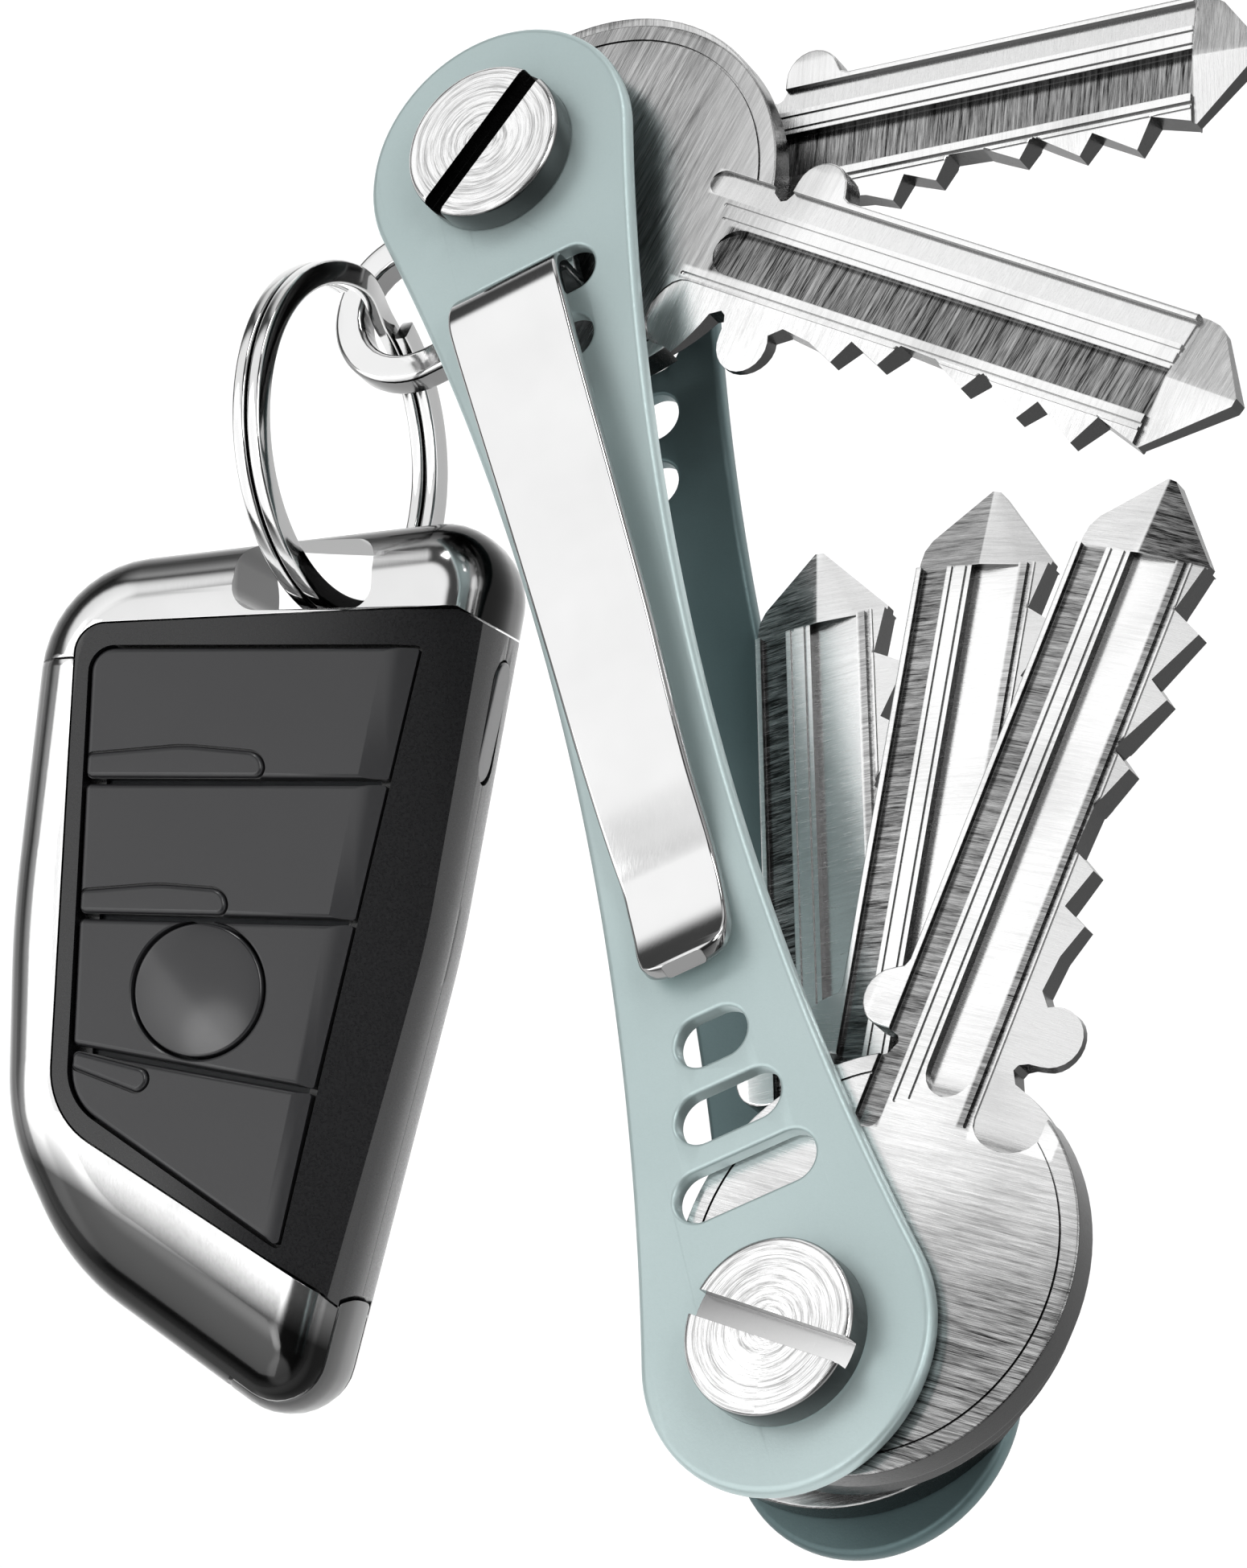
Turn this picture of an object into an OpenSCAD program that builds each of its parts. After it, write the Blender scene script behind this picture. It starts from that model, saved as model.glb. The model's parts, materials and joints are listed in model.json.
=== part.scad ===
// Key organiser: two dog-bone plates on two screw posts, with fold-out keys,
// a pocket clip, and a loop tab that carries a split ring and a remote fob.
// Row frame: +X runs from the lower post to the upper post, +Z is the front
// plate's outward normal, and the origin is the lower post's rear head face.

/* [Plates] */
// Distance between the two posts
post_span = 70; // [66:0.5:80]
// Radius of each rounded plate end
end_r = 7.5; // [7:0.1:9]
// Half width of the plates at the waist
waist_half = 3.85; // [3.5:0.05:5]
// Thickness of each plate
plate_t = 1; // [0.8:0.1:1.2]

/* [Posts] */
// Outer radius of the post sleeves
post_r = 2.4; // [2.2:0.05:2.6]
// Radius of the screw and post heads
head_r = 4.35; // [4:0.05:4.8]
// Height of the screw and post heads
head_h = 1.75; // [1.4:0.05:2]

/* [Keys] */
// Thickness of each key
key_t = 1.6; // [1.4:0.1:1.8]
// Radius of the round key heads
key_head_r = 10.4; // [9.5:0.1:10.5]
// Distance from the post to the tip of a full-length key
key_reach = 45; // [42:0.5:46]

/* [Split ring] */
// Outer radius of the split ring
ring_r = 9.55; // [9.3:0.05:9.7]
// Radial width of the ring's wire
ring_w = 1.3; // [1.1:0.1:1.4]

/* [Fob] */
// Thickness of the fob
fob_t = 8; // [7.6:0.1:8.4]
// Travel of each fob button
press = 0.3; // [0.2:0.05:0.4]

/* [Hidden] */
// Curve resolution of round parts
$fn = 96;
// Free play on each side of a key, and running gap on the posts
slip = 0.02;
run = 0.05;
levels = 5;
pitch = key_t + 2 * slip;
bay = levels * pitch;
rear_out = head_h;
rear_in = rear_out + plate_t;
front_in = rear_in + bay;
front_out = front_in + plate_t;
// Arc that forms the waist, tangent to both round ends
half_span = post_span / 2;
waist_arc = (pow(half_span, 2) + pow(waist_half, 2) - pow(end_r, 2)) / (2 * (end_r - waist_half));
tangent_k = end_r / (waist_arc + end_r);
tangent = [half_span * tangent_k, (waist_half + waist_arc) * tangent_k];
// Through slots, from the largest near a post to the smallest
slot_r = 1.3;
slot_first = 8.7;
slot_step = 3.85;
slot_half = [3.75, 2.8, 1.9];
// Screws and spacers
sleeve_bore = 1.6;
shank_r = 1.55;
driver_w = 1.2;
driver_d = 0.8;
head_chamfer = 0.3;
spacer_r = 4.3;
clip_t = 0.8;
// Loop tab: outer and inner half widths of its eye, and where the eye ends
eye_out = 4.65;
eye_in = 2.95;
eye_y = 9.65;
eye_start = 7.9;
// Split ring: place, the way its axis points, and its two turns
ring_at = [62.49, 14.52, 5.85];
ring_turn = -111.3;
turn_t = 0.72;
turn_gap = 0.16;
bridge_at = 70;
bridge_angle = 30;
// Fob: place of its frame, and its turn from the row frame
fob_at = [57.1, 16.8, 3.6];
fob_turn = [16.5, 14.5, -110];
seam_y = -5.5;
wall = 0.8;
groove = 0.24;
pad_top = fob_t / 2 + 0.05;
pad_t = 1.1;
// The ledge under the pads, the rubber mat that it clamps, and the board below
ledge_z = 2;
ledge_t = 0.5;
mat_t = 0.7;
board_t = 0.8;
board_z = ledge_z - mat_t - board_t;
round_at = [-5.6, -22.8];
round_r = 3.5;
// Corners of the fob, each with its corner radius
fob_outline = [
    [[-16.4, -0.7], 4.8], [[10, 2.4], 3.6], [[0.9, -45.8], 1.4], [[-16.8, -32.4], 7]
];
// Corners of the black body, which reaches past the fob's right edge
body_outline = [
    [[-13.2, -3.8], 1.6], [[7.2, -2.9], 0.4], [[14, -6.4], 0.4], [[8, -44.5], 0.4],
    [[1.4, -38.1], 0.4], [[-13.4, -29.4], 4.5]
];
// Corners of the sunk panel that holds the pads
panel_outline = [
    [[-12.4, -4.9], 1.4], [[5.5, -4.9], 0.3], [[-0.7, -36.1], 0.3], [[-12.5, -28.6], 3.2]
];
// Heights of the seams between the pads, at the panel's left and right sides
pad_seams = [[0, 0], [-12, -12], [-19, -19.3], [-25.7, -28.9], [-40, -40]];
pad_side_left = -13;
pad_side_right = 7;
// Release button in the right wall
side_lean = 10.7;
side_at = [7.98, -8.3, 0];
// Emergency key, which slides out of the fob's lower end
blade_at = [3.6, -13.2];
blade_lean = -13;
blade_size = [3.6, 28.5, 1.3];
// Keys: post, level, way it points, its sideways and lengthwise shift, and how much shorter it is
KEY = [
    [post_span, 4, -107, 0.4, -2.4, 3], [post_span, 2, -135, 0, 0.2, 0], [0, 5, -11.8, 0, 0, 0],
    [0, 3, -24.3, -1.5, 0, 0], [0, 1, -37.6, -2.3, 0, 0]
];
// The toothed edge, from the nose to the shoulder: distance from the post, distance from the axis
TEETH = [
    [41.3, -2.9], [39.7, -2.4], [37.8, -3.8], [36, -2.9], [34.3, -3.5], [32.4, -2.2], [30.6, -3],
    [28.3, -2], [25.2, -3.2], [24, -2.7], [22.7, -3.8], [19.2, -4.1]
];
key_head_u = 4.8;
neck_half = 3.2;
stop_u = 17.2;
stop_v = 4.3;
stop_r = 1.6;
blade_half = 4.1;
mill_depth = 0.35;

// Points of a convex outline whose corners are [point, radius]; steps per corner
function unit(v) = v / norm(v);
function corner(c, i) =
    let(n = len(c), p = c[i][0], r = c[i][1],
        a = unit(c[(i + n - 1) % n][0] - p), b = unit(c[(i + 1) % n][0] - p),
        half = acos(a * b) / 2, m = p + unit(a + b) * r / sin(half),
        start = p + a * r / tan(half) - m, stop = p + b * r / tan(half) - m,
        s0 = atan2(start.y, start.x), turn = atan2(start.x * stop.y - start.y * stop.x, start * stop),
        steps = 10)
    [for (k = [0:steps]) m + r * [cos(s0 + turn * k / steps), sin(s0 + turn * k / steps)]];
function rounded(c) = [for (i = [0:len(c) - 1]) each corner(c, i)];
function level_top(k) = front_in - slip - (k - 1) * pitch;

// ---- Frame ----
module slot(half) {
    for (s = [-1, 1]) translate([0, s * (half - slot_r)]) circle(slot_r);
    translate([-slot_r, slot_r - half]) square([2 * slot_r, 2 * (half - slot_r)]);
}

module plate(z) {
    translate([0, 0, z]) difference() {
        union() {
            for (x = [0, post_span]) translate([x, 0, 0]) cylinder(plate_t, r = end_r);
            difference() {
                translate([tangent.x, -tangent.y, 0])
                    cube([post_span - 2 * tangent.x, 2 * tangent.y, plate_t]);
                for (s = [-1, 1]) translate([half_span, s * (waist_half + waist_arc), -1])
                    cylinder(plate_t + 2, r = waist_arc, $fn = 720);
            }
        }
        for (x = [0, post_span]) translate([x, 0, -1]) cylinder(plate_t + 2, r = post_r + run);
        for (i = [0:2], far = [0, 1])
            translate([far * post_span + (1 - 2 * far) * (slot_first + i * slot_step), 0, -1])
                linear_extrude(plate_t + 2) slot(slot_half[i]);
    }
}

module front_plate() color("#9fb1b1") plate(front_in);
module rear_plate() color("#9fb1b1") plate(rear_out);

module head_profile() {
    polygon([
        [0, 0], [head_r - head_chamfer, 0], [head_r, head_chamfer], [head_r, head_h], [0, head_h]
    ]);
}

module post(x) {
    color("#c9cbcc") translate([x, 0, 0]) difference() {
        union() {
            rotate_extrude() head_profile();
            cylinder(front_out - 0.3, r = post_r);
        }
        translate([0, 0, rear_in]) cylinder(front_out, r = sleeve_bore);
    }
}

module screw(x, slot_angle) {
    color("#d8dadb") translate([x, 0, 0]) difference() {
        union() {
            translate([0, 0, front_out + head_h]) mirror([0, 0, 1]) rotate_extrude() head_profile();
            translate([0, 0, rear_in + 1]) cylinder(front_out - rear_in - 1, r = shank_r);
        }
        translate([0, 0, front_out + head_h - driver_d]) rotate([0, 0, slot_angle])
            translate([-2 * head_r, -driver_w / 2, 0]) cube([4 * head_r, driver_w, head_h]);
    }
}

module lower_post() post(0);
module upper_post() post(post_span);
module lower_screw() screw(0, 50);
module upper_screw() screw(post_span, 125);

module spacer(x, top, height) {
    translate([x, 0, top - height]) difference() {
        cylinder(height, r = spacer_r);
        translate([0, 0, -1]) cylinder(height + 2, r = post_r + run);
    }
}

module lower_spacers() {
    color("#b4b6b8") for (k = [2, 4]) spacer(0, level_top(k), key_t);
}

module upper_spacers() {
    color("#b4b6b8") {
        spacer(post_span, front_in - clip_t, key_t + slip - clip_t);
        for (k = [3]) spacer(post_span, level_top(k), key_t);
    }
}

// ---- Pocket clip ----
// Side view of the strap: points along its middle line, [x, height over the plate]
clip_line = [
    [19.8, 1.75], [20.9, 1.1], [22.3, 0.62], [24, 0.42], [26, 0.5], [30, 0.95], [38, 1.75],
    [46, 2.1], [54, 2.1], [59, 1.85], [60.4, 1.65], [61.3, 1.1], [61.6, 0.3], [61.6, -1.5]
];

// Normal of a line at point i, and the outline of a strip of thickness t along it
function line_normal(line, i) =
    let(d = unit(line[min(i + 1, len(line) - 1)] - line[max(i - 1, 0)])) [-d.y, d.x];
function strip(line, t) = concat(
    [for (i = [0:len(line) - 1]) line[i] + line_normal(line, i) * t / 2],
    [for (i = [len(line) - 1:-1:0]) line[i] - line_normal(line, i) * t / 2]
);

module clip_strap() {
    rotate([90, 0, 0]) linear_extrude(2 * end_r, center = true) polygon(strip(clip_line, clip_t));
}

module clip_plan() {
    polygon([
        [19, -1.5], [19.6, -2.2], [21, -2.55], [26, -2.6], [58.6, -2.45], [60, -2.3], [62.4, -2.3],
        [62.4, 3.3], [60, 3.5], [58.6, 3.8], [26, 2.4], [21, 2.3], [19.6, 1.9], [19, 1.2]
    ]);
}

module pocket_clip() {
    color("#d5d7d8") {
        difference() {
            union() {
                translate([0, 0, front_out]) intersection() {
                    clip_strap();
                    translate([0, 0, -3]) linear_extrude(8) clip_plan();
                }
                translate([61.2, -2.3, front_in - clip_t]) cube([6, 5.6, clip_t]);
                translate([post_span, 0, front_in - clip_t]) cylinder(clip_t, r = spacer_r + 0.4);
            }
            translate([post_span, 0, front_in - clip_t - 1]) cylinder(clip_t + 2, r = post_r + run);
        }
    }
}

// ---- Keys: drawn with the hole at the origin and the blade along +X ----
function along_blade(u, reach) = stop_u + (u - stop_u) * (reach - stop_u) / (45 - stop_u);

module key_plan(reach) {
    translate([key_head_u, 0]) circle(key_head_r);
    translate([key_head_u, -neck_half]) square([stop_u - key_head_u, 2 * neck_half]);
    for (s = [-1, 1]) translate([stop_u, s * stop_v]) circle(stop_r);
    translate([stop_u - stop_r, -stop_v]) square([2 * stop_r, 2 * stop_v]);
    polygon([
        [stop_u, blade_half], [stop_u, -blade_half],
        for (i = [len(TEETH) - 1:-1:0]) [along_blade(TEETH[i].x, reach), TEETH[i].y],
        [reach, 0.5], [along_blade(41.8, reach), blade_half - 0.3],
        [along_blade(41.2, reach), blade_half]
    ]);
}

// Milled channels that run from the head to the nose on one face
module key_mill(reach) {
    for (band = [[1.75, 3.5, 11.8], [-2.75, -1.95, 10.8]])
        translate([band[2], band[0], key_t - mill_depth])
            cube([reach, band[1] - band[0], key_t]);
}

module key(i) {
    k = KEY[i];
    reach = key_reach + k[4] - k[5];
    color("#b9bbbd") translate([k[0], 0, level_top(k[1]) - key_t]) rotate([0, 0, k[2]])
        difference() {
            translate([0, k[3], 0]) difference() {
                translate([k[4], 0, 0]) linear_extrude(key_t)
                    key_plan(key_reach - k[5]);
                key_mill(reach);
                translate([0, 0, key_t]) mirror([0, 0, 1]) key_mill(reach);
            }
            translate([0, 0, -1]) cylinder(key_t + 2, r = post_r + run);
        }
}

module key_1() key(0);
module key_2() key(1);
module key_3() key(2);
module key_4() key(3);
module key_5() key(4);

// ---- Loop tab and split ring ----
module loop_tab() {
    color("#cfd1d2") translate([post_span, 0, level_top(5) - key_t]) difference() {
        union() {
            cylinder(key_t, r = 5.4);
            translate([-eye_out, 0, 0]) cube([2 * eye_out, eye_y, key_t]);
            translate([0, eye_y, 0]) cylinder(key_t, r = eye_out);
        }
        translate([0, 0, -1]) cylinder(key_t + 2, r = post_r + run);
        translate([-eye_in, eye_start, -1]) cube([2 * eye_in, eye_y - eye_start, key_t + 2]);
        translate([0, eye_y, -1]) cylinder(key_t + 2, r = eye_in);
    }
}

module band(r_in, r_out, height, angle = 360) {
    rotate_extrude(angle = angle) translate([r_in, 0]) square([r_out - r_in, height]);
}

// Two turns of flat wire: a groove parts them all round, apart from the bridge where the
// wire crosses over, and each turn is cut off beside that bridge
module split_ring() {
    height = 2 * turn_t + turn_gap;
    middle = turn_t + turn_gap / 2;
    inner = ring_r - ring_w - 1;
    outer = ring_r + 1;
    color("#c4c6c8") translate(ring_at) rotate([0, 0, ring_turn]) rotate([0, 90, 0])
        translate([0, 0, -height / 2]) difference() {
            band(ring_r - ring_w, ring_r, height);
            rotate([0, 0, bridge_at + bridge_angle]) translate([0, 0, turn_t])
                band(inner, outer, turn_gap, 360 - bridge_angle);
            rotate([0, 0, bridge_at - 1]) translate([0, 0, middle]) band(inner, outer, height, 3);
            rotate([0, 0, bridge_at + bridge_angle - 2]) translate([0, 0, middle - height])
                band(inner, outer, height, 3);
        }
}

// ---- Remote fob: drawn with x across, y up and z out of its face ----
module in_fob() translate(fob_at) rotate(fob_turn) children();

module fob_plan(inset = 0) offset(delta = -inset) polygon(rounded(fob_outline));
module body_plan(grow = 0) offset(delta = grow) polygon(rounded(body_outline));
module panel_plan(inset = 0) offset(delta = -inset) polygon(rounded(panel_outline));

// The fob's solid outside shape, with sloped edges front and back
module fob_solid(inset = 0) {
    half = fob_t / 2 - inset;
    hull() {
        for (s = [-1, 1]) {
            translate([0, 0, s * (half - 0.05) - 0.05]) linear_extrude(0.1) fob_plan(inset + 1.5);
            translate([0, 0, s * (half - 0.7) - 0.05]) linear_extrude(0.1) fob_plan(inset + 0.5);
            translate([0, 0, s * (half - 2) - 0.05]) linear_extrude(0.1) fob_plan(inset);
        }
    }
}

module half_space(up) {
    translate([-50, up ? seam_y : seam_y - 100, -50]) cube([100, 100, 100]);
}

module ring_slot() {
    translate([-4.8, -3.1, -fob_t]) linear_extrude(2 * fob_t) offset(r = 1) offset(delta = -1)
        square([7.5, 3.95]);
    translate([-4.3, -4, -3.2]) cube([6.5, 3, 6.4]);
}

module fob_chrome() {
    difference() {
        fob_solid();
        translate([0, 0, -fob_t]) linear_extrude(2 * fob_t) body_plan(0.04);
    }
}

module fob_cap() {
    color("#d2d4d6") in_fob() difference() {
        intersection() {
            fob_chrome();
            half_space(true);
        }
        ring_slot();
    }
}

// The spare blade, or the slot that it slides along
module blade_place(gap = 0, extra = 0) {
    length = blade_size.y + extra;
    translate([blade_at.x, blade_at.y, -blade_size.z / 2 - 1]) rotate([0, 0, blade_lean])
        translate([-blade_size.x / 2 - gap, -length, -gap])
            cube([blade_size.x + 2 * gap, length + gap, blade_size.z + 2 * gap]);
}

// The end piece at the fob's lower tip, cut off by a slanted plane
module tip_zone(gap = 0) {
    translate([-1.2, -40.9 + gap, -2.1 - gap]) rotate([0, 0, blade_lean + 48]) translate([-4 - gap, -12, 0])
        cube([9 + 2 * gap, 12 + gap, 4.2 + 2 * gap]);
}

module fob_trim() {
    color("#d2d4d6") in_fob() difference() {
        intersection() {
            fob_chrome();
            translate([0, -groove / 2, 0]) half_space(false);
        }
        tip_zone(0.08);
        blade_place(0.1, 6);
    }
}

module fob_black(inset = 0) {
    intersection() {
        fob_solid(inset);
        translate([0, 0, -fob_t]) linear_extrude(2 * fob_t) body_plan(-0.04 - inset);
    }
}

// The fob's right wall leans by side_lean, and the release button sits in it
module release_place() translate(side_at) rotate([0, 0, -side_lean]) children();

module release_plan(gap, span) {
    translate([span[0], 0, 0]) rotate([0, 90, 0]) linear_extrude(span[1] - span[0]) {
        for (s = [-1, 1]) translate([0, s * 2.1]) circle(1.1 + gap);
        translate([-1.1 - gap, -2.1]) square([2.2 + 2 * gap, 4.2]);
    }
}

module release_hole() release_place() release_plan(0.1, [-2, 2]);

module fob_rear_shell() {
    color("#2b2c2e") in_fob() difference() {
        fob_black();
        translate([-50, -100, 0]) cube([100, 150, 20]);
        fob_black(wall);
        blade_place(0.1);
        release_hole();
        tip_zone(0.08);
        ring_slot();
    }
}

module fob_front_cover() {
    color("#37383a") in_fob() difference() {
        fob_black();
        translate([-50, -100, -20]) cube([100, 150, 20]);
        difference() {
            fob_black(wall);
            translate([0, 0, ledge_z]) linear_extrude(fob_t / 2 - ledge_z - 0.5) difference() {
                panel_plan(-0.8);
                panel_plan(1.2);
            }
        }
        translate([0, 0, ledge_z + ledge_t]) linear_extrude(fob_t) panel_plan();
        translate([0, 0, 0.8]) linear_extrude(fob_t) panel_plan(0.8);
        release_hole();
        tip_zone(0.08);
        ring_slot();
    }
}

module pad_plan(i) {
    intersection() {
        panel_plan(groove / 2);
        polygon([
            [pad_side_left, pad_seams[i][0] - groove / 2], [pad_side_right, pad_seams[i][1] - groove / 2],
            [pad_side_right, pad_seams[i + 1][1] + groove / 2],
            [pad_side_left, pad_seams[i + 1][0] + groove / 2]
        ]);
    }
}

module pad(i) {
    translate([0, 0, pad_top - pad_t]) linear_extrude(pad_t) pad_plan(i);
}

module upper_pad() color("#3d3e40") in_fob() pad(0);
module second_pad() color("#3d3e40") in_fob() pad(1);
module lower_pad() color("#3d3e40") in_fob() pad(3);

module middle_panel() {
    bottom = ledge_z + ledge_t;
    color("#3d3e40") in_fob() difference() {
        translate([0, 0, bottom]) linear_extrude(pad_top - bottom) pad_plan(2);
        translate([round_at.x, round_at.y, 0]) cylinder(fob_t, r = round_r + 0.1);
    }
}

module round_button() {
    color("#45464a") in_fob() translate([round_at.x, round_at.y, pad_top - pad_t]) {
        cylinder(pad_t, r = round_r);
        translate([0, 0, pad_t]) cylinder(0.15, r1 = round_r - 0.05, r2 = round_r - 0.5);
    }
}

// Rubber mat with a dome under each button
module button_mat() {
    color("#5c5f63") in_fob() translate([0, 0, board_z + board_t]) {
        linear_extrude(mat_t) panel_plan(0.15);
        for (at = [[-4, -8.4], [-4, -15.5], round_at, [-5.5, -30]])
            translate(at) cylinder(pad_top - pad_t - press - 0.05 - board_z - board_t, r = 1);
    }
}

module circuit_board() {
    color("#2f6b46") in_fob() translate([0, 0, board_z]) {
        linear_extrude(board_t) panel_plan(0.3);
        for (chip = [[-10, -9, 2.4], [-3, -10.5, 3.2], [-8, -28, 1.8]])
            translate([chip.x, chip.y, -0.4]) cube([chip.z, chip.z * 0.8, 0.4]);
    }
}

battery_at = [-6.2, -18.5];
battery_r = 5.8;
battery_z = -2.7;
battery_t = 2;

module battery() {
    color("#b9bcc0") in_fob() translate([battery_at.x, battery_at.y, battery_z]) {
        cylinder(0.5, r = battery_r - 0.4);
        translate([0, 0, 0.5]) cylinder(battery_t - 0.5, r = battery_r);
    }
}

// Springs below the battery, and between it and the board
module battery_contacts() {
    floor_z = wall - fob_t / 2;
    top = battery_z + battery_t;
    color("#c8a860") in_fob() translate([battery_at.x, battery_at.y, 0]) {
        translate([-2, -4, floor_z]) cube([4, 8, battery_z - floor_z]);
        translate([-1.5, -1.5, top]) cube([3, 3, board_z - top]);
    }
}

module release_button() {
    color("#2b2c2e") in_fob() release_place() release_plan(0, [-1.7, -0.05]);
}

module emergency_key() {
    color("#8c8f92") in_fob() {
        blade_place();
        intersection() {
            fob_solid();
            tip_zone();
        }
    }
}

front_plate();
rear_plate();
lower_post();
upper_post();
lower_screw();
upper_screw();
lower_spacers();
upper_spacers();
pocket_clip();
key_1();
key_2();
key_3();
key_4();
key_5();
loop_tab();
split_ring();
fob_cap();
fob_trim();
fob_rear_shell();
fob_front_cover();
upper_pad();
second_pad();
middle_panel();
lower_pad();
round_button();
button_mat();
circuit_board();
battery();
battery_contacts();
release_button();
emergency_key();
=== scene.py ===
import json
from math import acos, atan2, cos, degrees, pi, radians, sin, sqrt, tan

import bmesh
import bpy
from mathutils import Euler, Matrix, Vector
from mathutils.geometry import tessellate_polygon


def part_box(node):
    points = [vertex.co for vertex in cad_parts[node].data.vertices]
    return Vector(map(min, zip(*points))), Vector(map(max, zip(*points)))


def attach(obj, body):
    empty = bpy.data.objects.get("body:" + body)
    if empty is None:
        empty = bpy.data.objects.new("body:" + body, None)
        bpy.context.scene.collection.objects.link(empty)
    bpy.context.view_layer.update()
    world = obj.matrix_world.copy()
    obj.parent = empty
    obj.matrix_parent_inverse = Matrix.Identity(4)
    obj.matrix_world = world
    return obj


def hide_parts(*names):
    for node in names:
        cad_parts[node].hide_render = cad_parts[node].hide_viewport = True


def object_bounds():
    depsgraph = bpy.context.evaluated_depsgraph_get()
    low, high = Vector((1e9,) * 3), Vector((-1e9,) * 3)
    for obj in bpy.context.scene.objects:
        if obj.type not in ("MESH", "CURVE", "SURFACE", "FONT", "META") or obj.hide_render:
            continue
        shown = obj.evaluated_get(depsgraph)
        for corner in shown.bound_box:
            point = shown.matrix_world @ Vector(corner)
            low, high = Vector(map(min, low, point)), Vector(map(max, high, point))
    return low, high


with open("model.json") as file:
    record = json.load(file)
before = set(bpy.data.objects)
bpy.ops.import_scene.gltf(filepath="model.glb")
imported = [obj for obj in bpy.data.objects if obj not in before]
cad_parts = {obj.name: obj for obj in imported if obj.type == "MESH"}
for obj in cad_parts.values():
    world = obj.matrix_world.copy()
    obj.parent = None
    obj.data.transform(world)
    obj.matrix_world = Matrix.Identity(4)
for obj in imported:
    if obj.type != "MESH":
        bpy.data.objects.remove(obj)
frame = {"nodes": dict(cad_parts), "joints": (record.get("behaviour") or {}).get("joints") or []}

CAD_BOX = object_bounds()
MM = 0.001
SCENE = bpy.context.scene


# -------------------------------- dimensions, in millimetres
# Everything is built in millimetres in the row frame, and made metres when it is finished.


def low(node):
    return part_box(node)[0] / MM


def high(node):
    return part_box(node)[1] / MM


def joint(name):
    return next(j for j in frame["joints"] if j["name"] == name)


SPAN = joint("tab_swing")["pos_m"][0] / MM
PLATE_R = -low("front_plate").x
PLATE_T = high("front_plate").z - low("front_plate").z
PLATE_TOP = high("front_plate").z
WAIST = 3.85
SLOTS = [(8.7, 3.75), (12.55, 2.8), (16.4, 1.9)]
SLOT_R = 1.3
POST_R = 2.45
HEAD_R = high("lower_post").x
HEAD_H = high("lower_screw").z - PLATE_TOP
KEYS = {
    # post, way it points, sideways and lengthwise shift, how much shorter
    "key_1": (SPAN, -107, 0.4, -2.4, 3.0),
    "key_2": (SPAN, -135, 0.0, 0.2, 0.0),
    "key_3": (0, -11.8, 0.0, 0.0, 0.0),
    "key_4": (0, -24.3, -1.5, 0.0, 0.0),
    "key_5": (0, -37.6, -2.3, 0.0, 0.0),
}
RING_R = 9.55
RING_W = 1.3
RING_TURN = 0.72
RING_GAP = 0.16
RING_AXIS = Vector(joint("fob_swing")["axis"]).normalized()
FOB_T = 8.0
FOB_AT = (57.1, 16.8, 3.6)
FOB_TILT = Euler([radians(t) for t in (16.5, 14.5, -110)])
FOB = Matrix.Translation(FOB_AT) @ FOB_TILT.to_matrix().to_4x4()
PAD_TOP = 4.05
PAD_T = 1.1
GROOVE = 0.24

# A key is drawn with its blade along +X. u is the distance from the post, and v from the axis.
TEETH = [
    (19.2, -3.1), (21, -3.3), (22.7, -3.9), (23.4, -2.6), (25.4, -3.3), (26.2, -2.0), (28.3, -2.1),
    (30.6, -3.1), (31.4, -2), (34.3, -3.6), (35.1, -2.5), (37.8, -3.9), (38.7, -2.3), (41.3, -3)
]
NOSE = [(45.1, 0.35), (45.15, 0.8), (42.75, 3.75), (42.2, 4.1), (41.6, 4.2)]
HEAD_U = 4.8
KEY_HEAD_R = 10.4
NECK = 3.2
BACK = 4.2
FULL_REACH = 45
STOP_U = 17.2
NOSE_U = 41.1
NOSE_DEPTH = 0.55


def along_blade(u, shorter):
    """Where a place on the full blade comes on a shorter one."""
    return STOP_U + (u - STOP_U) * (FULL_REACH - shorter - STOP_U) / (FULL_REACH - STOP_U)


# -------------------------------- outlines


# A lathe's profile starts this far from its axis, so that its first ring isn't one point
CORE = 0.01
# Points nearer to one another than this are merged
WELD_GAP = 0.004


def arc(cx, cy, r, start, stop, step=5):
    """Points from one angle to another, about step degrees apart."""
    count = max(2, int(abs(stop - start) / step) + 1)
    turns = [radians(start + (stop - start) * k / (count - 1)) for k in range(count)]
    return [(cx + r * cos(t), cy + r * sin(t)) for t in turns]


def circle(cx, cy, r, step=5):
    return arc(cx, cy, r, 0, 360, step)[:-1]


def quarter(steps):
    """Angles from 0 to a right angle."""
    return [pi / 2 * k / steps for k in range(steps + 1)]


def crossing(p, d, q, e):
    """Where the line through p along d meets the line through q along e."""
    return p + d * ((q - p).cross(e) / d.cross(e))


def outline(corners, insets=0.0, steps=8, least=0.05):
    """An anticlockwise outline with rounded corners, each a place and a radius. Every side is
    moved in by one inset, or by its own. Side i runs from corner i to corner i + 1."""
    count = len(corners)
    if not hasattr(insets, "__len__"):
        insets = [insets] * count
    points = [Vector(c[0]) for c in corners]
    along = [(points[(i + 1) % count] - points[i]).normalized() for i in range(count)]
    inward = [Vector((-d.y, d.x)) for d in along]
    loop = []
    for i in range(count):
        before = (i - 1) % count
        p = crossing(points[i] + inward[before] * insets[before], along[before],
                     points[i] + inward[i] * insets[i], along[i])
        a, b = -along[before], along[i]
        half = acos(max(-1, min(1, a.dot(b)))) / 2
        convex = along[before].cross(along[i]) > 0
        r = corners[i][1] - (insets[before] + insets[i]) / 2 * (1 if convex else -1)
        r = max(r, min(least, corners[i][1]))
        middle = p + (a + b).normalized() * r / sin(half)
        first = p + a * r / tan(half) - middle
        last = p + b * r / tan(half) - middle
        start = atan2(first.y, first.x)
        turn = atan2(first.cross(last), first.dot(last))
        for k in range(steps + 1):
            t = start + turn * k / steps
            loop.append((middle.x + r * cos(t), middle.y + r * sin(t)))
    return loop


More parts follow.
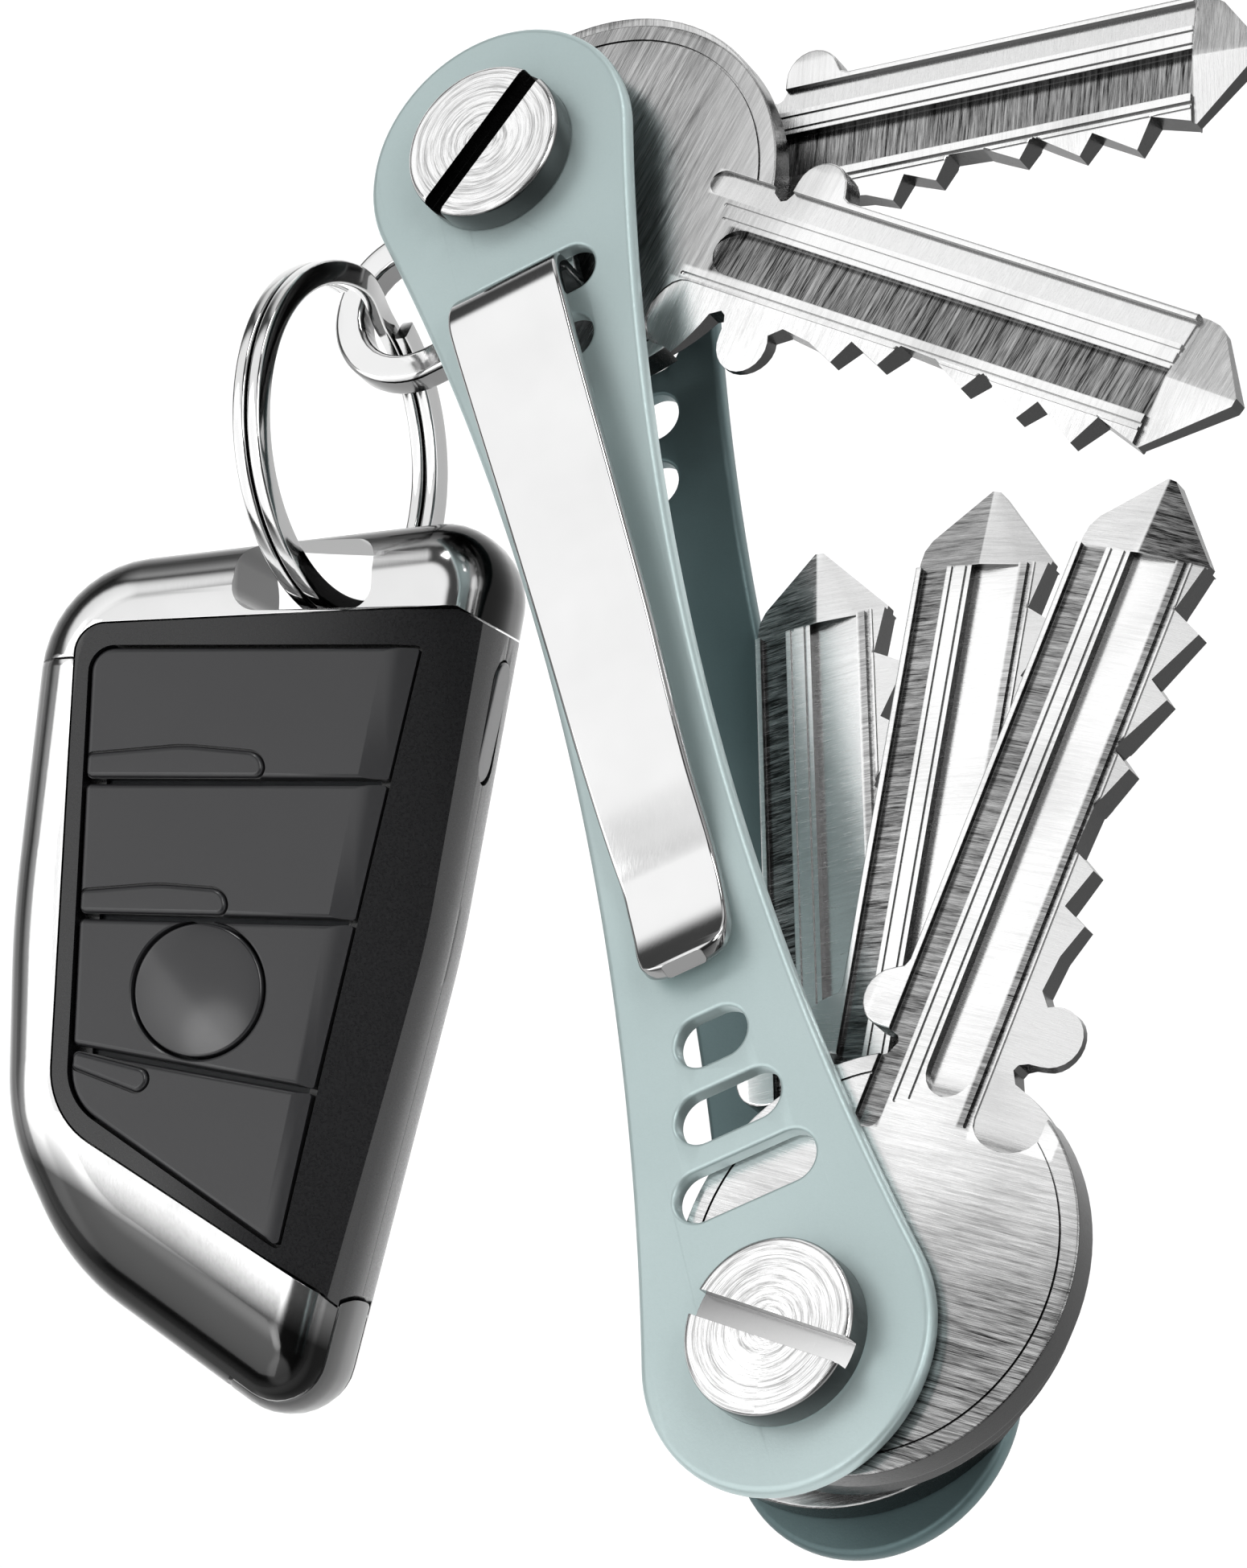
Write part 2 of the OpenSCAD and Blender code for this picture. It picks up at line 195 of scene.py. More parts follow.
def shrink(loop, inset):
    """A loop moved to its left by inset, so an anticlockwise loop gets smaller."""
    points = [Vector(p) for p in loop]
    count = len(points)
    made = []
    for i, p in enumerate(points):
        a = (p - points[i - 1]).normalized()
        b = (points[(i + 1) % count] - p).normalized()
        n = Vector((-a.y - b.y, a.x + b.x))
        made.append(p + n * (2 * inset / max(n.length_squared, 0.8)))
    return [(p.x, p.y) for p in made]


# -------------------------------- meshes


def mesh_object(name, verts, faces):
    mesh = bpy.data.meshes.new(name)
    mesh.from_pydata([tuple(v) for v in verts], [], faces)
    mesh.validate()
    obj = bpy.data.objects.new(name, mesh)
    SCENE.collection.objects.link(obj)
    return obj


def skin(rings, count, base=0):
    """Faces between neighbouring rings of count points each."""
    faces = []
    for k in range(rings - 1):
        a, b = base + k * count, base + (k + 1) * count
        for i in range(count):
            j = (i + 1) % count
            faces.append((a + i, a + j, b + j, b + i))
    return faces


def slab(name, loops, bottom, top, bevels, steps=3):
    """A flat plate: an anticlockwise outline and clockwise holes, with rounded rims.
    bevels is one rim radius, or one for each loop."""
    if not hasattr(bevels, "__len__"):
        bevels = [bevels] * len(loops)
    verts, faces, caps = [], [], ([], [])
    for loop, bevel in zip(loops, bevels):
        count = len(loop)
        turns = quarter(steps)
        rings = [(bevel * (1 - sin(t)), bottom + bevel * (1 - cos(t))) for t in turns]
        rings += [(bevel * (1 - cos(t)), top - bevel * (1 - sin(t))) for t in turns]
        base = len(verts)
        for inset, z in rings:
            verts += [(x, y, z) for x, y in shrink(loop, inset)]
        faces += skin(len(rings), count, base)
        caps[0].append(list(range(base, base + count)))
        caps[1].append(list(range(len(verts) - count, len(verts))))
    for cap, flip in zip(caps, (True, False)):
        flat = [i for ring in cap for i in ring]
        for tri in tessellate_polygon([[Vector(verts[i]) for i in ring] for ring in cap]):
            face = [flat[i] for i in tri]
            a, b, c = (Vector(verts[i]) for i in face)
            if ((b - a).cross(c - a).z < 0) != flip:
                face.reverse()
            faces.append(tuple(face))
    return mesh_object(name, verts, faces)


def loft(name, rings, closed=False):
    """Rings of the same number of points, joined into a skin. Its ends are closed with a flat
    face each, or joined to one another."""
    count = len(rings[0])
    verts = [p for ring in rings for p in ring]
    faces = skin(len(rings), count)
    if closed:
        a = len(verts) - count
        faces += [(a + i, a + (i + 1) % count, (i + 1) % count, i) for i in range(count)]
    else:
        faces.append(tuple(reversed(range(count))))
        faces.append(tuple(range(len(verts) - count, len(verts))))
    return mesh_object(name, verts, faces)


def lathe(name, profile, x, y, steps=96, closed=False):
    """A profile of (radius, height) turned about the upright axis through x, y. A closed
    profile is a loop round a bore."""
    turns = [2 * pi * k / steps for k in range(steps)]
    rings = [[(x + r * cos(t), y + r * sin(t), z) for t in turns] for r, z in profile]
    return loft(name, rings, closed)


def bar(name, loop, bottom, top):
    """An upright bar with a given outline."""
    return loft(name, [[(x, y, z) for x, y in loop] for z in (bottom, top)])


def block(name, size, at, turn=None):
    """A box centred at a point, used only to cut with."""
    x, y, z = (s / 2 for s in size)
    obj = bar(name, [(-x, -y), (x, -y), (x, y), (-x, y)], -z, z)
    obj.data.transform(Matrix.Translation(at) @ (turn or Matrix.Identity(4)))
    return obj


def outward(obj):
    bm = bmesh.new()
    bm.from_mesh(obj.data)
    bmesh.ops.recalc_face_normals(bm, faces=bm.faces)
    bm.to_mesh(obj.data)
    bm.free()


def cut(obj, cutter, operation="DIFFERENCE"):
    """Cuts obj with a closed mesh, and removes the cutter."""
    outward(obj)
    outward(cutter)
    step = obj.modifiers.new("cut", "BOOLEAN")
    step.operation = operation
    step.object = cutter
    step.solver = "EXACT"
    bake(obj)
    bpy.data.objects.remove(cutter)


def bake(obj):
    """Applies obj's modifiers to its mesh."""
    graph = bpy.context.evaluated_depsgraph_get()
    made = bpy.data.meshes.new_from_object(obj.evaluated_get(graph))
    old = obj.data
    obj.modifiers.clear()
    obj.data = made
    made.name = obj.name
    bpy.data.meshes.remove(old)


def weld(obj):
    """Merges points that are almost in one place."""
    bm = bmesh.new()
    bm.from_mesh(obj.data)
    bmesh.ops.remove_doubles(bm, verts=bm.verts, dist=WELD_GAP)
    bmesh.ops.dissolve_degenerate(bm, edges=bm.edges, dist=WELD_GAP)
    bm.to_mesh(obj.data)
    bm.free()


def soften(obj, width, angle=28):
    """Rounds the sharp edges."""
    weld(obj)
    step = obj.modifiers.new("rims", "BEVEL")
    step.width = width
    step.segments = 2
    step.limit_method = "ANGLE"
    step.angle_limit = radians(angle)
    step.miter_outer = "MITER_ARC"
    step.use_clamp_overlap = True
    step.loop_slide = True
    bake(obj)


def copy_of(obj, name):
    """A second object with a mesh of its own."""
    twin = bpy.data.objects.new(name, obj.data.copy())
    SCENE.collection.objects.link(twin)
    return twin


def finish(obj, body, node, material, place=None, smooth=35):
    """Puts a millimetre mesh in the row frame, in metres, and hands it to the frame."""
    outward(obj)
    if place is not None:
        obj.data.transform(place)
    obj.data.transform(Matrix.Scale(MM, 4))
    obj.data.shade_smooth()
    obj.data.set_sharp_from_angle(angle=radians(smooth))
    weighted = obj.modifiers.new("flat_faces", "WEIGHTED_NORMAL")
    weighted.keep_sharp = True
    weighted.weight = 80
    obj.data.materials.clear()
    obj.data.materials.append(material)
    if node:
        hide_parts(node)
    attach(obj, body)
    return obj


# -------------------------------- materials


class Nodes:
    """A short way to write a node tree."""

    def __init__(self, tree):
        self.tree = tree
        tree.nodes.clear()

    def add(self, kind, **values):
        node = self.tree.nodes.new(kind)
        for key, value in values.items():
            setattr(node, key, value)
        return node

    def link(self, a, b):
        self.tree.links.new(a, b)

    def math(self, operation, a, b=0.0):
        node = self.add("ShaderNodeMath", operation=operation)
        for socket, value in zip(node.inputs, (a, b)):
            if isinstance(value, (int, float)):
                socket.default_value = value
            else:
                self.link(value, socket)
        return node.outputs[0]

    def spread(self, value, low_in, high_in, low_out, high_out, kind="LINEAR"):
        node = self.add("ShaderNodeMapRange", clamp=True, interpolation_type=kind)
        for socket, number in zip(node.inputs[1:5], (low_in, high_in, low_out, high_out)):
            socket.default_value = number
        self.link(value, node.inputs[0])
        return node.outputs[0]

    def dot(self, vector, axis):
        node = self.add("ShaderNodeVectorMath", operation="DOT_PRODUCT")
        self.link(vector, node.inputs[0])
        node.inputs[1].default_value = axis
        return node.outputs["Value"]

    def split(self, vector):
        node = self.add("ShaderNodeSeparateXYZ")
        self.link(vector, node.inputs[0])
        return node.outputs


class Surface(Nodes):
    def __init__(self, name):
        self.material = bpy.data.materials.new(name)
        self.material.use_nodes = True
        super().__init__(self.material.node_tree)
        self.surface = self.add("ShaderNodeBsdfPrincipled")
        out = self.add("ShaderNodeOutputMaterial")
        self.link(self.surface.outputs[0], out.inputs["Surface"])
        self.place = self.add("ShaderNodeTexCoord").outputs["Object"]

    def set(self, **values):
        for key, value in values.items():
            self.surface.inputs[key.replace("_", " ")].default_value = value

    def moved(self, turn=(0, 0, 0), scale=(1, 1, 1), at=(0, 0, 0), vector=None):
        """Object coordinates seen from a point, turned and then stretched."""
        vector = vector or self.place
        steps = {"Location": [-c for c in at], "Rotation": [radians(t) for t in turn],
                 "Scale": scale}
        for key, value in steps.items():
            node = self.add("ShaderNodeMapping", vector_type="POINT")
            node.inputs[key].default_value = value
            self.link(vector, node.inputs["Vector"])
            vector = node.outputs[0]
        return vector

    def noise(self, vector, scale, detail=3.0, rough=0.6):
        node = self.add("ShaderNodeTexNoise")
        node.inputs["Scale"].default_value = scale
        node.inputs["Detail"].default_value = detail
        node.inputs["Roughness"].default_value = rough
        self.link(vector, node.inputs["Vector"])
        return node.outputs["Fac"]

    def blend(self, factor, a, b):
        node = self.add("ShaderNodeMix", data_type="RGBA")
        self.link(factor, node.inputs["Factor"])
        for socket, colour in zip((node.inputs[6], node.inputs[7]), (a, b)):
            socket.default_value = (*colour, 1)
        return node.outputs[2]

    def mixed(self, a, b, share):
        """a where share is 0 and b where it's 1."""
        return self.math("ADD", self.math("MULTIPLY", a, self.math("SUBTRACT", 1.0, share)),
                         self.math("MULTIPLY", b, share))

    def grey(self, tone):
        colour = self.add("ShaderNodeCombineColor")
        for socket in colour.inputs[:3]:
            self.link(tone, socket)
        return colour.outputs[0]

    def walls(self, axis, steep=0.3, flat=0.8):
        """A mask for painted wall light and shade: 1 on faces that stand along the axis, 0 on those
        that lie across it.
        """
        along = self.dot(self.add("ShaderNodeTexCoord").outputs["Normal"], axis)
        return self.spread(self.math("ABSOLUTE", along), steep, flat, 1, 0)

    def strokes(self, vector, fine, broad):
        """Two sizes of stroke: the fine ones, and the mean of both."""
        fine = self.noise(vector, fine, 3, 0.75)
        broad = self.noise(vector, broad, 2, 0.6)
        return fine, self.math("ADD", self.math("MULTIPLY", fine, 0.5),
                               self.math("MULTIPLY", broad, 0.5))

    def bump(self, height, strength, distance):
        node = self.add("ShaderNodeBump")
        node.inputs["Strength"].default_value = strength
        node.inputs["Distance"].default_value = distance
        self.link(height, node.inputs["Height"])
        return node.outputs[0]

    def use(self, **sockets):
        for key, value in sockets.items():
            self.link(value, self.surface.inputs[key.replace("_", " ")])


def anodised(name, dark, light):
    """Dyed aluminium with a fine etched grain."""
    n = Surface(name)
    n.set(Metallic=0.65)
    clouds = n.noise(n.place, 60, 2)
    grain = n.noise(n.place, 9000, 2, 0.7)
    n.use(Base_Color=n.blend(n.spread(clouds, 0.3, 0.7, 0, 1), dark, light),
          Roughness=n.spread(grain, 0.25, 0.75, 0.36, 0.52),
          Normal=n.bump(grain, 0.25, 0.00002))
    return n.material


def turned(name, centre, top, slot_painted_light, slot_angle):
    """Lathe-turned steel: fine rings about an upright axis on the top face, a smooth driver slot
    with painted light and shade that runs from one value to another along its length, and
    painted shade on its walls."""
    n = Surface(name)
    n.set(Metallic=1.0)
    x, y, z = n.split(n.moved(turn=(0, 0, -slot_angle), at=(centre * MM, 0, 0)))
    r = n.math("SQRT", n.math("ADD", n.math("MULTIPLY", x, x), n.math("MULTIPLY", y, y)))
    ring = n.add("ShaderNodeCombineXYZ")
    n.link(r, ring.inputs[0])
    n.link(n.math("MULTIPLY", n.math("ARCTAN2", y, x), 0.00012), ring.inputs[1])
    lines = n.noise(ring.outputs[0], 16000, 3, 0.7)
    wide = n.noise(ring.outputs[0], 5200, 2, 0.6)
    on_top = n.spread(z, (top - 0.25) * MM, (top - 0.12) * MM, 0, 1)
    both = n.math("MULTIPLY", n.math("ADD", lines, wide), on_top)
    face = n.spread(n.math("ADD", lines, wide), 0.8, 1.1, 0.45, 1.0)
    # Painted light and shade along the slot, from the first value of slot_painted_light to the
    # second
    slot = n.spread(x, -2.2 * MM, 2.2 * MM, slot_painted_light[0], slot_painted_light[1])
    tone = n.mixed(slot, face, on_top)
    # Painted shade on the walls
    tone = n.mixed(tone, 0.08, n.walls((0, 0, 1)))
    n.use(Base_Color=n.grey(tone), Roughness=n.spread(lines, 0.3, 0.7, 0.12, 0.28),
          Normal=n.bump(both, 0.3, 0.00003))
    return n.material


def brushed(name, angle, colour):
    """Metal brushed in straight strokes that run at angle, in degrees from +X."""
    n = Surface(name)
    n.set(Metallic=1.0)
    fine, both = n.strokes(n.moved(turn=(0, 0, -angle), scale=(0.03, 1, 0.35)), 9000, 1600)
    dark = tuple(c * 0.62 for c in colour)
    n.use(Base_Color=n.blend(n.spread(both, 0.36, 0.56, 0, 1), dark, colour),
          Roughness=n.spread(fine, 0.3, 0.7, 0.14, 0.34),
          Normal=n.bump(both, 0.35, 0.00004))
    return n.material


def key_steel(node, painted_reflections, fade):
    """Steel brushed across a key, with painted reflections on its milled bands and painted shade on
    its walls. painted_reflections are the painted light or dark values for the head, the sloped
    back band, the middle channel, the lower ridge, the toothed land, and the nose's back and front
    facets. The head's painted value brightens towards the blade over the stretch that fade gives."""
    x, angle, v_shift, u_shift, shorter = KEYS[node]
    n = Surface(node + "_steel")
    n.set(Metallic=1.0)
    head, slope, channel, ridge, land, nose_back, nose_front = painted_reflections
    stop = along_blade(NOSE_U, shorter)
    local = n.moved(turn=(0, 0, -angle), at=(x * MM, 0, 0))
    along, across, _ = n.split(local)
    u = n.math("SUBTRACT", along, u_shift * MM)
    v = n.math("SUBTRACT", across, v_shift * MM)
    fine, both = n.strokes(n.moved(scale=(1, 0.03, 0.35), vector=local), 24000, 6000)
    clouds = n.spread(n.noise(local, 90, 2), 0.35, 0.65, 0.8, 1.15)

    def band(low_v, high_v, start):
        edge = 0.06 * MM
        inside = n.math("MULTIPLY", n.spread(v, low_v * MM - edge, low_v * MM + edge, 0, 1),
                        n.spread(v, high_v * MM - edge, high_v * MM + edge, 1, 0))
        begun = n.spread(u, start * MM - 2 * edge, start * MM + 2 * edge, 0, 1)
        return n.math("MULTIPLY", inside, begun)

    # Painted reflection: the head brightens towards the blade, and each milled band gets its own
    # painted light or dark value
    slanted = n.math("ADD", u, n.math("MULTIPLY", v, 0.4))
    tone = n.spread(slanted, fade[0] * MM, fade[1] * MM, head, 0.92)
    tone = n.mixed(tone, slope, band(2.45, 3.86, 11))
    tone = n.mixed(tone, channel, band(-1.45, 1.1, 13.3))
    tone = n.mixed(tone, ridge, band(-2.2, -1.55, 11.9))
    tone = n.mixed(tone, land, band(-7, -2.3, 11.4))
    tone = n.mixed(tone, nose_back, band(0.7, 7, stop))
    tone = n.mixed(tone, nose_front, band(-7, 0.7, stop))
    # Strokes show most where the painted value is dark
    swing = n.math("MULTIPLY", n.math("SUBTRACT", both, 0.47),
                   n.math("SUBTRACT", 2.1, n.math("MULTIPLY", tone, 1.6)))
    tone = n.math("MULTIPLY", n.math("ADD", tone, swing), clouds)
    # Painted shade on the walls
    tone = n.math("MAXIMUM", n.mixed(tone, 0.05, n.walls((0, 0, 1))), 0.02)
    n.use(Base_Color=n.grey(tone), Roughness=n.spread(fine, 0.3, 0.7, 0.15, 0.3),
          Normal=n.bump(both, 0.3, 0.00003))
    return n.material


def polished(name, tone, rough, axis, wall, painted_shades=()):
    """Mirror-like metal with faint smears and hair scratches. Walls along the axis get their own
    painted value: painted shade where it's below the face's value, painted light where it's above.
    Each painted shade is a point, a direction, how far it takes to fade in and what's left."""
    n = Surface(name)
    n.set(Metallic=1.0)
    smear = n.noise(n.place, 140, 3)
    hair = n.noise(n.moved(turn=(0, 0, 24), scale=(0.04, 1, 1)), 12000, 2, 0.8)
    # Painted wall value: shade below the face's value, light above it
    value = n.mixed(n.spread(smear, 0.3, 0.7, tone * 0.94, tone), wall, n.walls(axis, 0.62, 0.985))
    # Painted shade that darkens the metal beyond each start point
    for start, direction, reach, least in painted_shades:
        along = n.dot(n.place, direction)
        near = start.dot(direction) * MM
        value = n.math("MULTIPLY", value, n.spread(along, near, near + reach * MM, 1, least))
    n.use(Base_Color=n.grey(value),
          Roughness=n.spread(n.math("MULTIPLY", smear, hair), 0.12, 0.42, rough[0], rough[1]),
          Normal=n.bump(hair, 0.03, 0.00002))
    return n.material


def moulded(name, colour, rough, grain=0.12):
    """Satin plastic with a very fine moulded grain."""
    n = Surface(name)
    n.set(Metallic=0.0, IOR=1.5, Coat_Weight=0.3, Coat_Roughness=0.12)
    clouds = n.noise(n.place, 90, 2)
    pits = n.noise(n.place, 7000, 2, 0.7)
    dark = tuple(c * 0.85 for c in colour)
    n.use(Base_Color=n.blend(n.spread(clouds, 0.3, 0.7, 0, 1), dark, colour),
          Roughness=n.spread(pits, 0.3, 0.7, rough[0], rough[1]),
          Normal=n.bump(pits, grain, 0.00002))
    return n.material


def laminate():
    """Green circuit board with faint tracks."""
    n = Surface("laminate")
    n.set(Metallic=0.0, Coat_Weight=0.4)
    tracks = n.noise(n.moved(scale=(1, 0.15, 1)), 1500, 1)
    copper = n.spread(tracks, 0.48, 0.52, 0, 1)
    n.use(Base_Color=n.blend(copper, (0.01, 0.12, 0.05), (0.03, 0.22, 0.10)),
          Roughness=n.spread(tracks, 0.4, 0.6, 0.3, 0.45))
    return n.material


SAGE = anodised("anodised_sage", (0.45, 0.55, 0.55), (0.51, 0.61, 0.61))
# The rear plate is the same sage with painted shade: a darker copy for the shade it lies in
PAINTED_SHADE_SAGE = anodised("anodised_shade", (0.08, 0.125, 0.13), (0.13, 0.185, 0.19))
# Painted reflections: the same bands get light or dark values that differ from key to key as the
# light falls on them
KEY_STEEL = {
    "key_1": key_steel("key_1", (0.34, 1.0, 0.18, 0.9, 1.0, 0.5, 0.9), (10, 17)),
    "key_2": key_steel("key_2", (0.34, 1.0, 0.16, 0.9, 0.85, 0.6, 0.95), (10, 17)),
    "key_3": key_steel("key_3", (0.50, 0.10, 0.9, 0.40, 0.95, 0.2, 0.95), (8, 15)),
    "key_4": key_steel("key_4", (0.60, 0.20, 1.0, 0.45, 1.0, 0.35, 0.8), (8, 15)),
    "key_5": key_steel("key_5", (0.20, 0.24, 1.0, 0.25, 1.0, 0.9, 0.10), (1, 14)),
}
UP = (0, 0, 1)
FOB_UP = FOB.to_3x3() @ Vector(UP)
# The fifth value of each is its painted wall value: painted shade on the clip, tab and chrome
# walls, painted light on the ring's
CLIP = polished("mirror_steel", 0.9, (0.05, 0.12), UP, 0.3)
TAB = polished("tab_steel", 0.88, (0.06, 0.14), UP, 0.22)
RING = polished("ring_steel", 0.42, (0.06, 0.14), RING_AXIS, 0.75)
# Painted shade on the cap below its front face
PAINTED_SHADE_UNDER_FACE = (FOB @ Vector((0, 0, 3.7)), -FOB_UP, 0.7, 0.12)
CHROME = polished("satin_chrome", 0.92, (0.09, 0.16), FOB_UP, 0.12, (PAINTED_SHADE_UNDER_FACE,))
# Painted shade across the trim's left band and its chin, darker outwards
PAINTED_SHADE_LEFT_SIDE = (FOB @ Vector((-14.7, -15, 4)), FOB.to_3x3() @ Vector((-1, 0, 0)), 1.3, 0.15)
PAINTED_SHADE_CHIN = (FOB @ Vector((-13.65, -29.95, 4)), FOB.to_3x3() @ Vector((-0.507, -0.862, 0)), 1.8, 0.085)
CHROME_WRAP = polished("satin_chrome_wrap", 0.95, (0.09, 0.16), FOB_UP, 0.12, (PAINTED_SHADE_LEFT_SIDE, PAINTED_SHADE_CHIN))
CHROME_TIP = polished("dark_chrome", 0.25, (0.14, 0.24), FOB_UP, 0.1)
LOW_TURNED = turned("turned_steel_lower", 0, PLATE_TOP + HEAD_H, (0.9, 0.2), -22)
HIGH_TURNED = turned("turned_steel_upper", SPAN, PLATE_TOP + HEAD_H, (0.05, 0.04), 125)
BLACK = moulded("black_shell", (0.007, 0.007, 0.008), (0.24, 0.34))
PANEL = moulded("black_panel", (0.02, 0.02, 0.022), (0.34, 0.44))
BUTTON = moulded("black_button", (0.03, 0.03, 0.032), (0.16, 0.22), 0.03)
DARK_STEEL = brushed("spare_blade_steel", 60, (0.42, 0.43, 0.45))
RUBBER = moulded("silicone", (0.10, 0.11, 0.12), (0.5, 0.65))
BOARD = laminate()
BRASS = brushed("sprung_brass", 20, (0.72, 0.52, 0.25))


# -------------------------------- frame pieces


def slot_hole(x, half):
    """A clockwise round-ended slot that runs across the plate."""
    loop = arc(x, half - SLOT_R, SLOT_R, 0, 180, 8) + arc(x, SLOT_R - half, SLOT_R, 180, 360, 8)
    return loop[::-1]


def plate_outline():
    """Two round ends joined by the waist's two large arcs."""
    half = SPAN / 2
    big = (half ** 2 + WAIST ** 2 - PLATE_R ** 2) / (2 * (PLATE_R - WAIST))
    share = PLATE_R / (big + PLATE_R)
    lean = degrees(atan2(WAIST + big, half))
    up = degrees(atan2((WAIST + big) * (1 - share), half * (1 - share)))
    swing = 90 - up
    loop = arc(SPAN, 0, PLATE_R, -180 + lean, 180 - lean, 4)
    loop += arc(half, WAIST + big, big, -90 + swing, -90 - swing, 0.5)[1:-1]
    loop += arc(0, 0, PLATE_R, lean, 360 - lean, 4)
    loop += arc(half, -WAIST - big, big, 90 + swing, 90 - swing, 0.5)[1:-1]
    return loop


def plate(node, material):
    """A waisted plate with its two post holes and six slots."""
    bottom, top = low(node).z, high(node).z
    loops, rims = [plate_outline()], [0.38]
    for x in (0, SPAN):
        loops.append(circle(x, 0, POST_R, 8)[::-1])
        rims.append(0.1)
        side = 1 if x == 0 else -1
        for offset, half in SLOTS:
            loops.append(slot_hole(x + side * offset, half))
            rims.append(0.2)
    obj = slab(node + "_skin", loops, bottom, top, rims, 4)
    finish(obj, "organiser", node, material)


# Screws, posts and washers: radii, heights, and the cutter for the driver slot
HEAD_RIM = 0.32
SHANK_R = 1.55
SLEEVE_R = 2.4
BORE_R = 1.6
BORE_END = 2.8
WASHER_R = 4.3
DRIVER_W = 1.25
DRIVER_H = 2
DRIVER_RAISED = 0.12
DRIVER_ANGLES = (50, 125)
LOW_WASHERS = ((7.69, 9.29), (4.41, 6.01))
HIGH_WASHERS = ((9.33, 10.15), (6.05, 7.65))


def head_profile(bottom, top):
    """The outside of a flat disc with a rounded upper rim."""
    rim = HEAD_RIM
    edge = [(HEAD_R - rim * (1 - cos(t)), top - rim * (1 - sin(t))) for t in quarter(5)]
    return [(HEAD_R - 0.1, bottom), (HEAD_R, bottom + 0.1)] + edge


def screw(node, x, slot_angle, material):
    """A turned head with a driver slot right across it, on a shank."""
    bottom, top = low(node).z, high(node).z
    head = lathe(node + "_turned", head_profile(PLATE_TOP, top), x, 0)
    turn = Matrix.Rotation(radians(slot_angle), 4, "Z")
    cut(head, block("driver", (12, DRIVER_W, DRIVER_H), (x, 0, top + DRIVER_RAISED), turn))
    soften(head, 0.07, 40)
    finish(head, "organiser", node, material)
    profile = [(CORE, bottom), (SHANK_R - 0.2, bottom), (SHANK_R, bottom + 0.2),
               (SHANK_R, PLATE_TOP), (CORE, PLATE_TOP)]
    shank = lathe(node + "_shank", profile, x, 0, 48)
    finish(shank, "organiser", None, material)


def post(node, x, material):
    """The rear head and the sleeve that the keys turn on."""
    top = high(node).z
    rim = head_profile(-HEAD_H, 0)
    profile = [(CORE, 0)] + [(r, -z) for r, z in reversed(rim[1:])] + [(HEAD_R - 0.1, HEAD_H)]
    profile += [(SLEEVE_R, HEAD_H), (SLEEVE_R, top - 0.1), (SLEEVE_R - 0.1, top), (BORE_R, top),
                (BORE_R, BORE_END), (CORE, BORE_END)]
    obj = lathe(node + "_turned", profile, x, 0)
    finish(obj, "organiser", node, material)


def spacers(node, x, levels, material):
    """Washers on a post, each from one height to another."""
    r = WASHER_R
    for i, (bottom, top) in enumerate(levels):
        profile = [(POST_R, bottom), (r - 0.1, bottom), (r, bottom + 0.1), (r, top - 0.1),
                   (r - 0.1, top), (POST_R, top)]
        ring = lathe(f"{node}_{i}", profile, x, 0, closed=True)
        finish(ring, "organiser", None if i else node, material)


# -------------------------------- pocket clip

# Side view of the clip's strap: distance from the lower post, height over the plate, and the
# strap's two edges across the plate
CLIP_LINE = [
    (19.7, 1.5, -1.2, 0.9), (19.95, 1.36, -1.95, 1.65), (20.4, 1.14, -2.4, 2.1),
    (21.2, 0.85, -2.62, 2.3), (22.4, 0.58, -2.65, 2.35), (23.9, 0.42, -2.65, 2.4),
    (25.4, 0.45, -2.65, 2.4), (27.2, 0.8, -2.7, 2.45), (30, 1.3, -2.75, 2.5),
    (34, 1.72, -2.85, 2.6), (39, 1.98, -2.95, 2.75), (46, 2.1, -2.85, 3.1),
    (54, 2.1, -2.65, 3.6), (58.6, 1.98, -2.55, 3.9), (60, 1.82, -2.5, 3.9),
    (60.8, 1.5, -2.45, 3.75), (61.35, 0.95, -2.4, 3.5), (61.6, 0.3, -2.35, 3.4),
    (61.6, -0.9, -2.3, 3.3), (61.6, -1.6, -2.3, 3.3)
]
CLIP_T = 0.8
CLIP_RIM = 0.2
TONGUE_X = (61.3, 66)
TONGUE_Y = (-2.3, 3.3)
TONGUE_R = 4.7


def smooth_line(points):
    """Points on a smooth line through the given ones."""
    steps = 6
    points = [Vector(p) for p in points]
    made = []
    for i in range(len(points) - 1):
        p0, p1, p2, p3 = (points[max(0, min(len(points) - 1, i + k))] for k in (-1, 0, 1, 2))
        for k in range(steps):
            t = k / steps
            made.append(0.5 * (2 * p1 + (p2 - p0) * t + (2 * p0 - 5 * p1 + 4 * p2 - p3) * t ** 2
                               + (3 * p1 - p0 - 3 * p2 + p3) * t ** 3))
    return made + [points[-1]]


def section(half_w, half_t, r):
    """A rectangle with rounded corners, anticlockwise."""
    loop = []
    for sx, sy, start in ((1, -1, -90), (1, 1, 0), (-1, 1, 90), (-1, -1, 180)):
        loop += arc(sx * (half_w - r), sy * (half_t - r), r, start, start + 90, 30)
    return loop


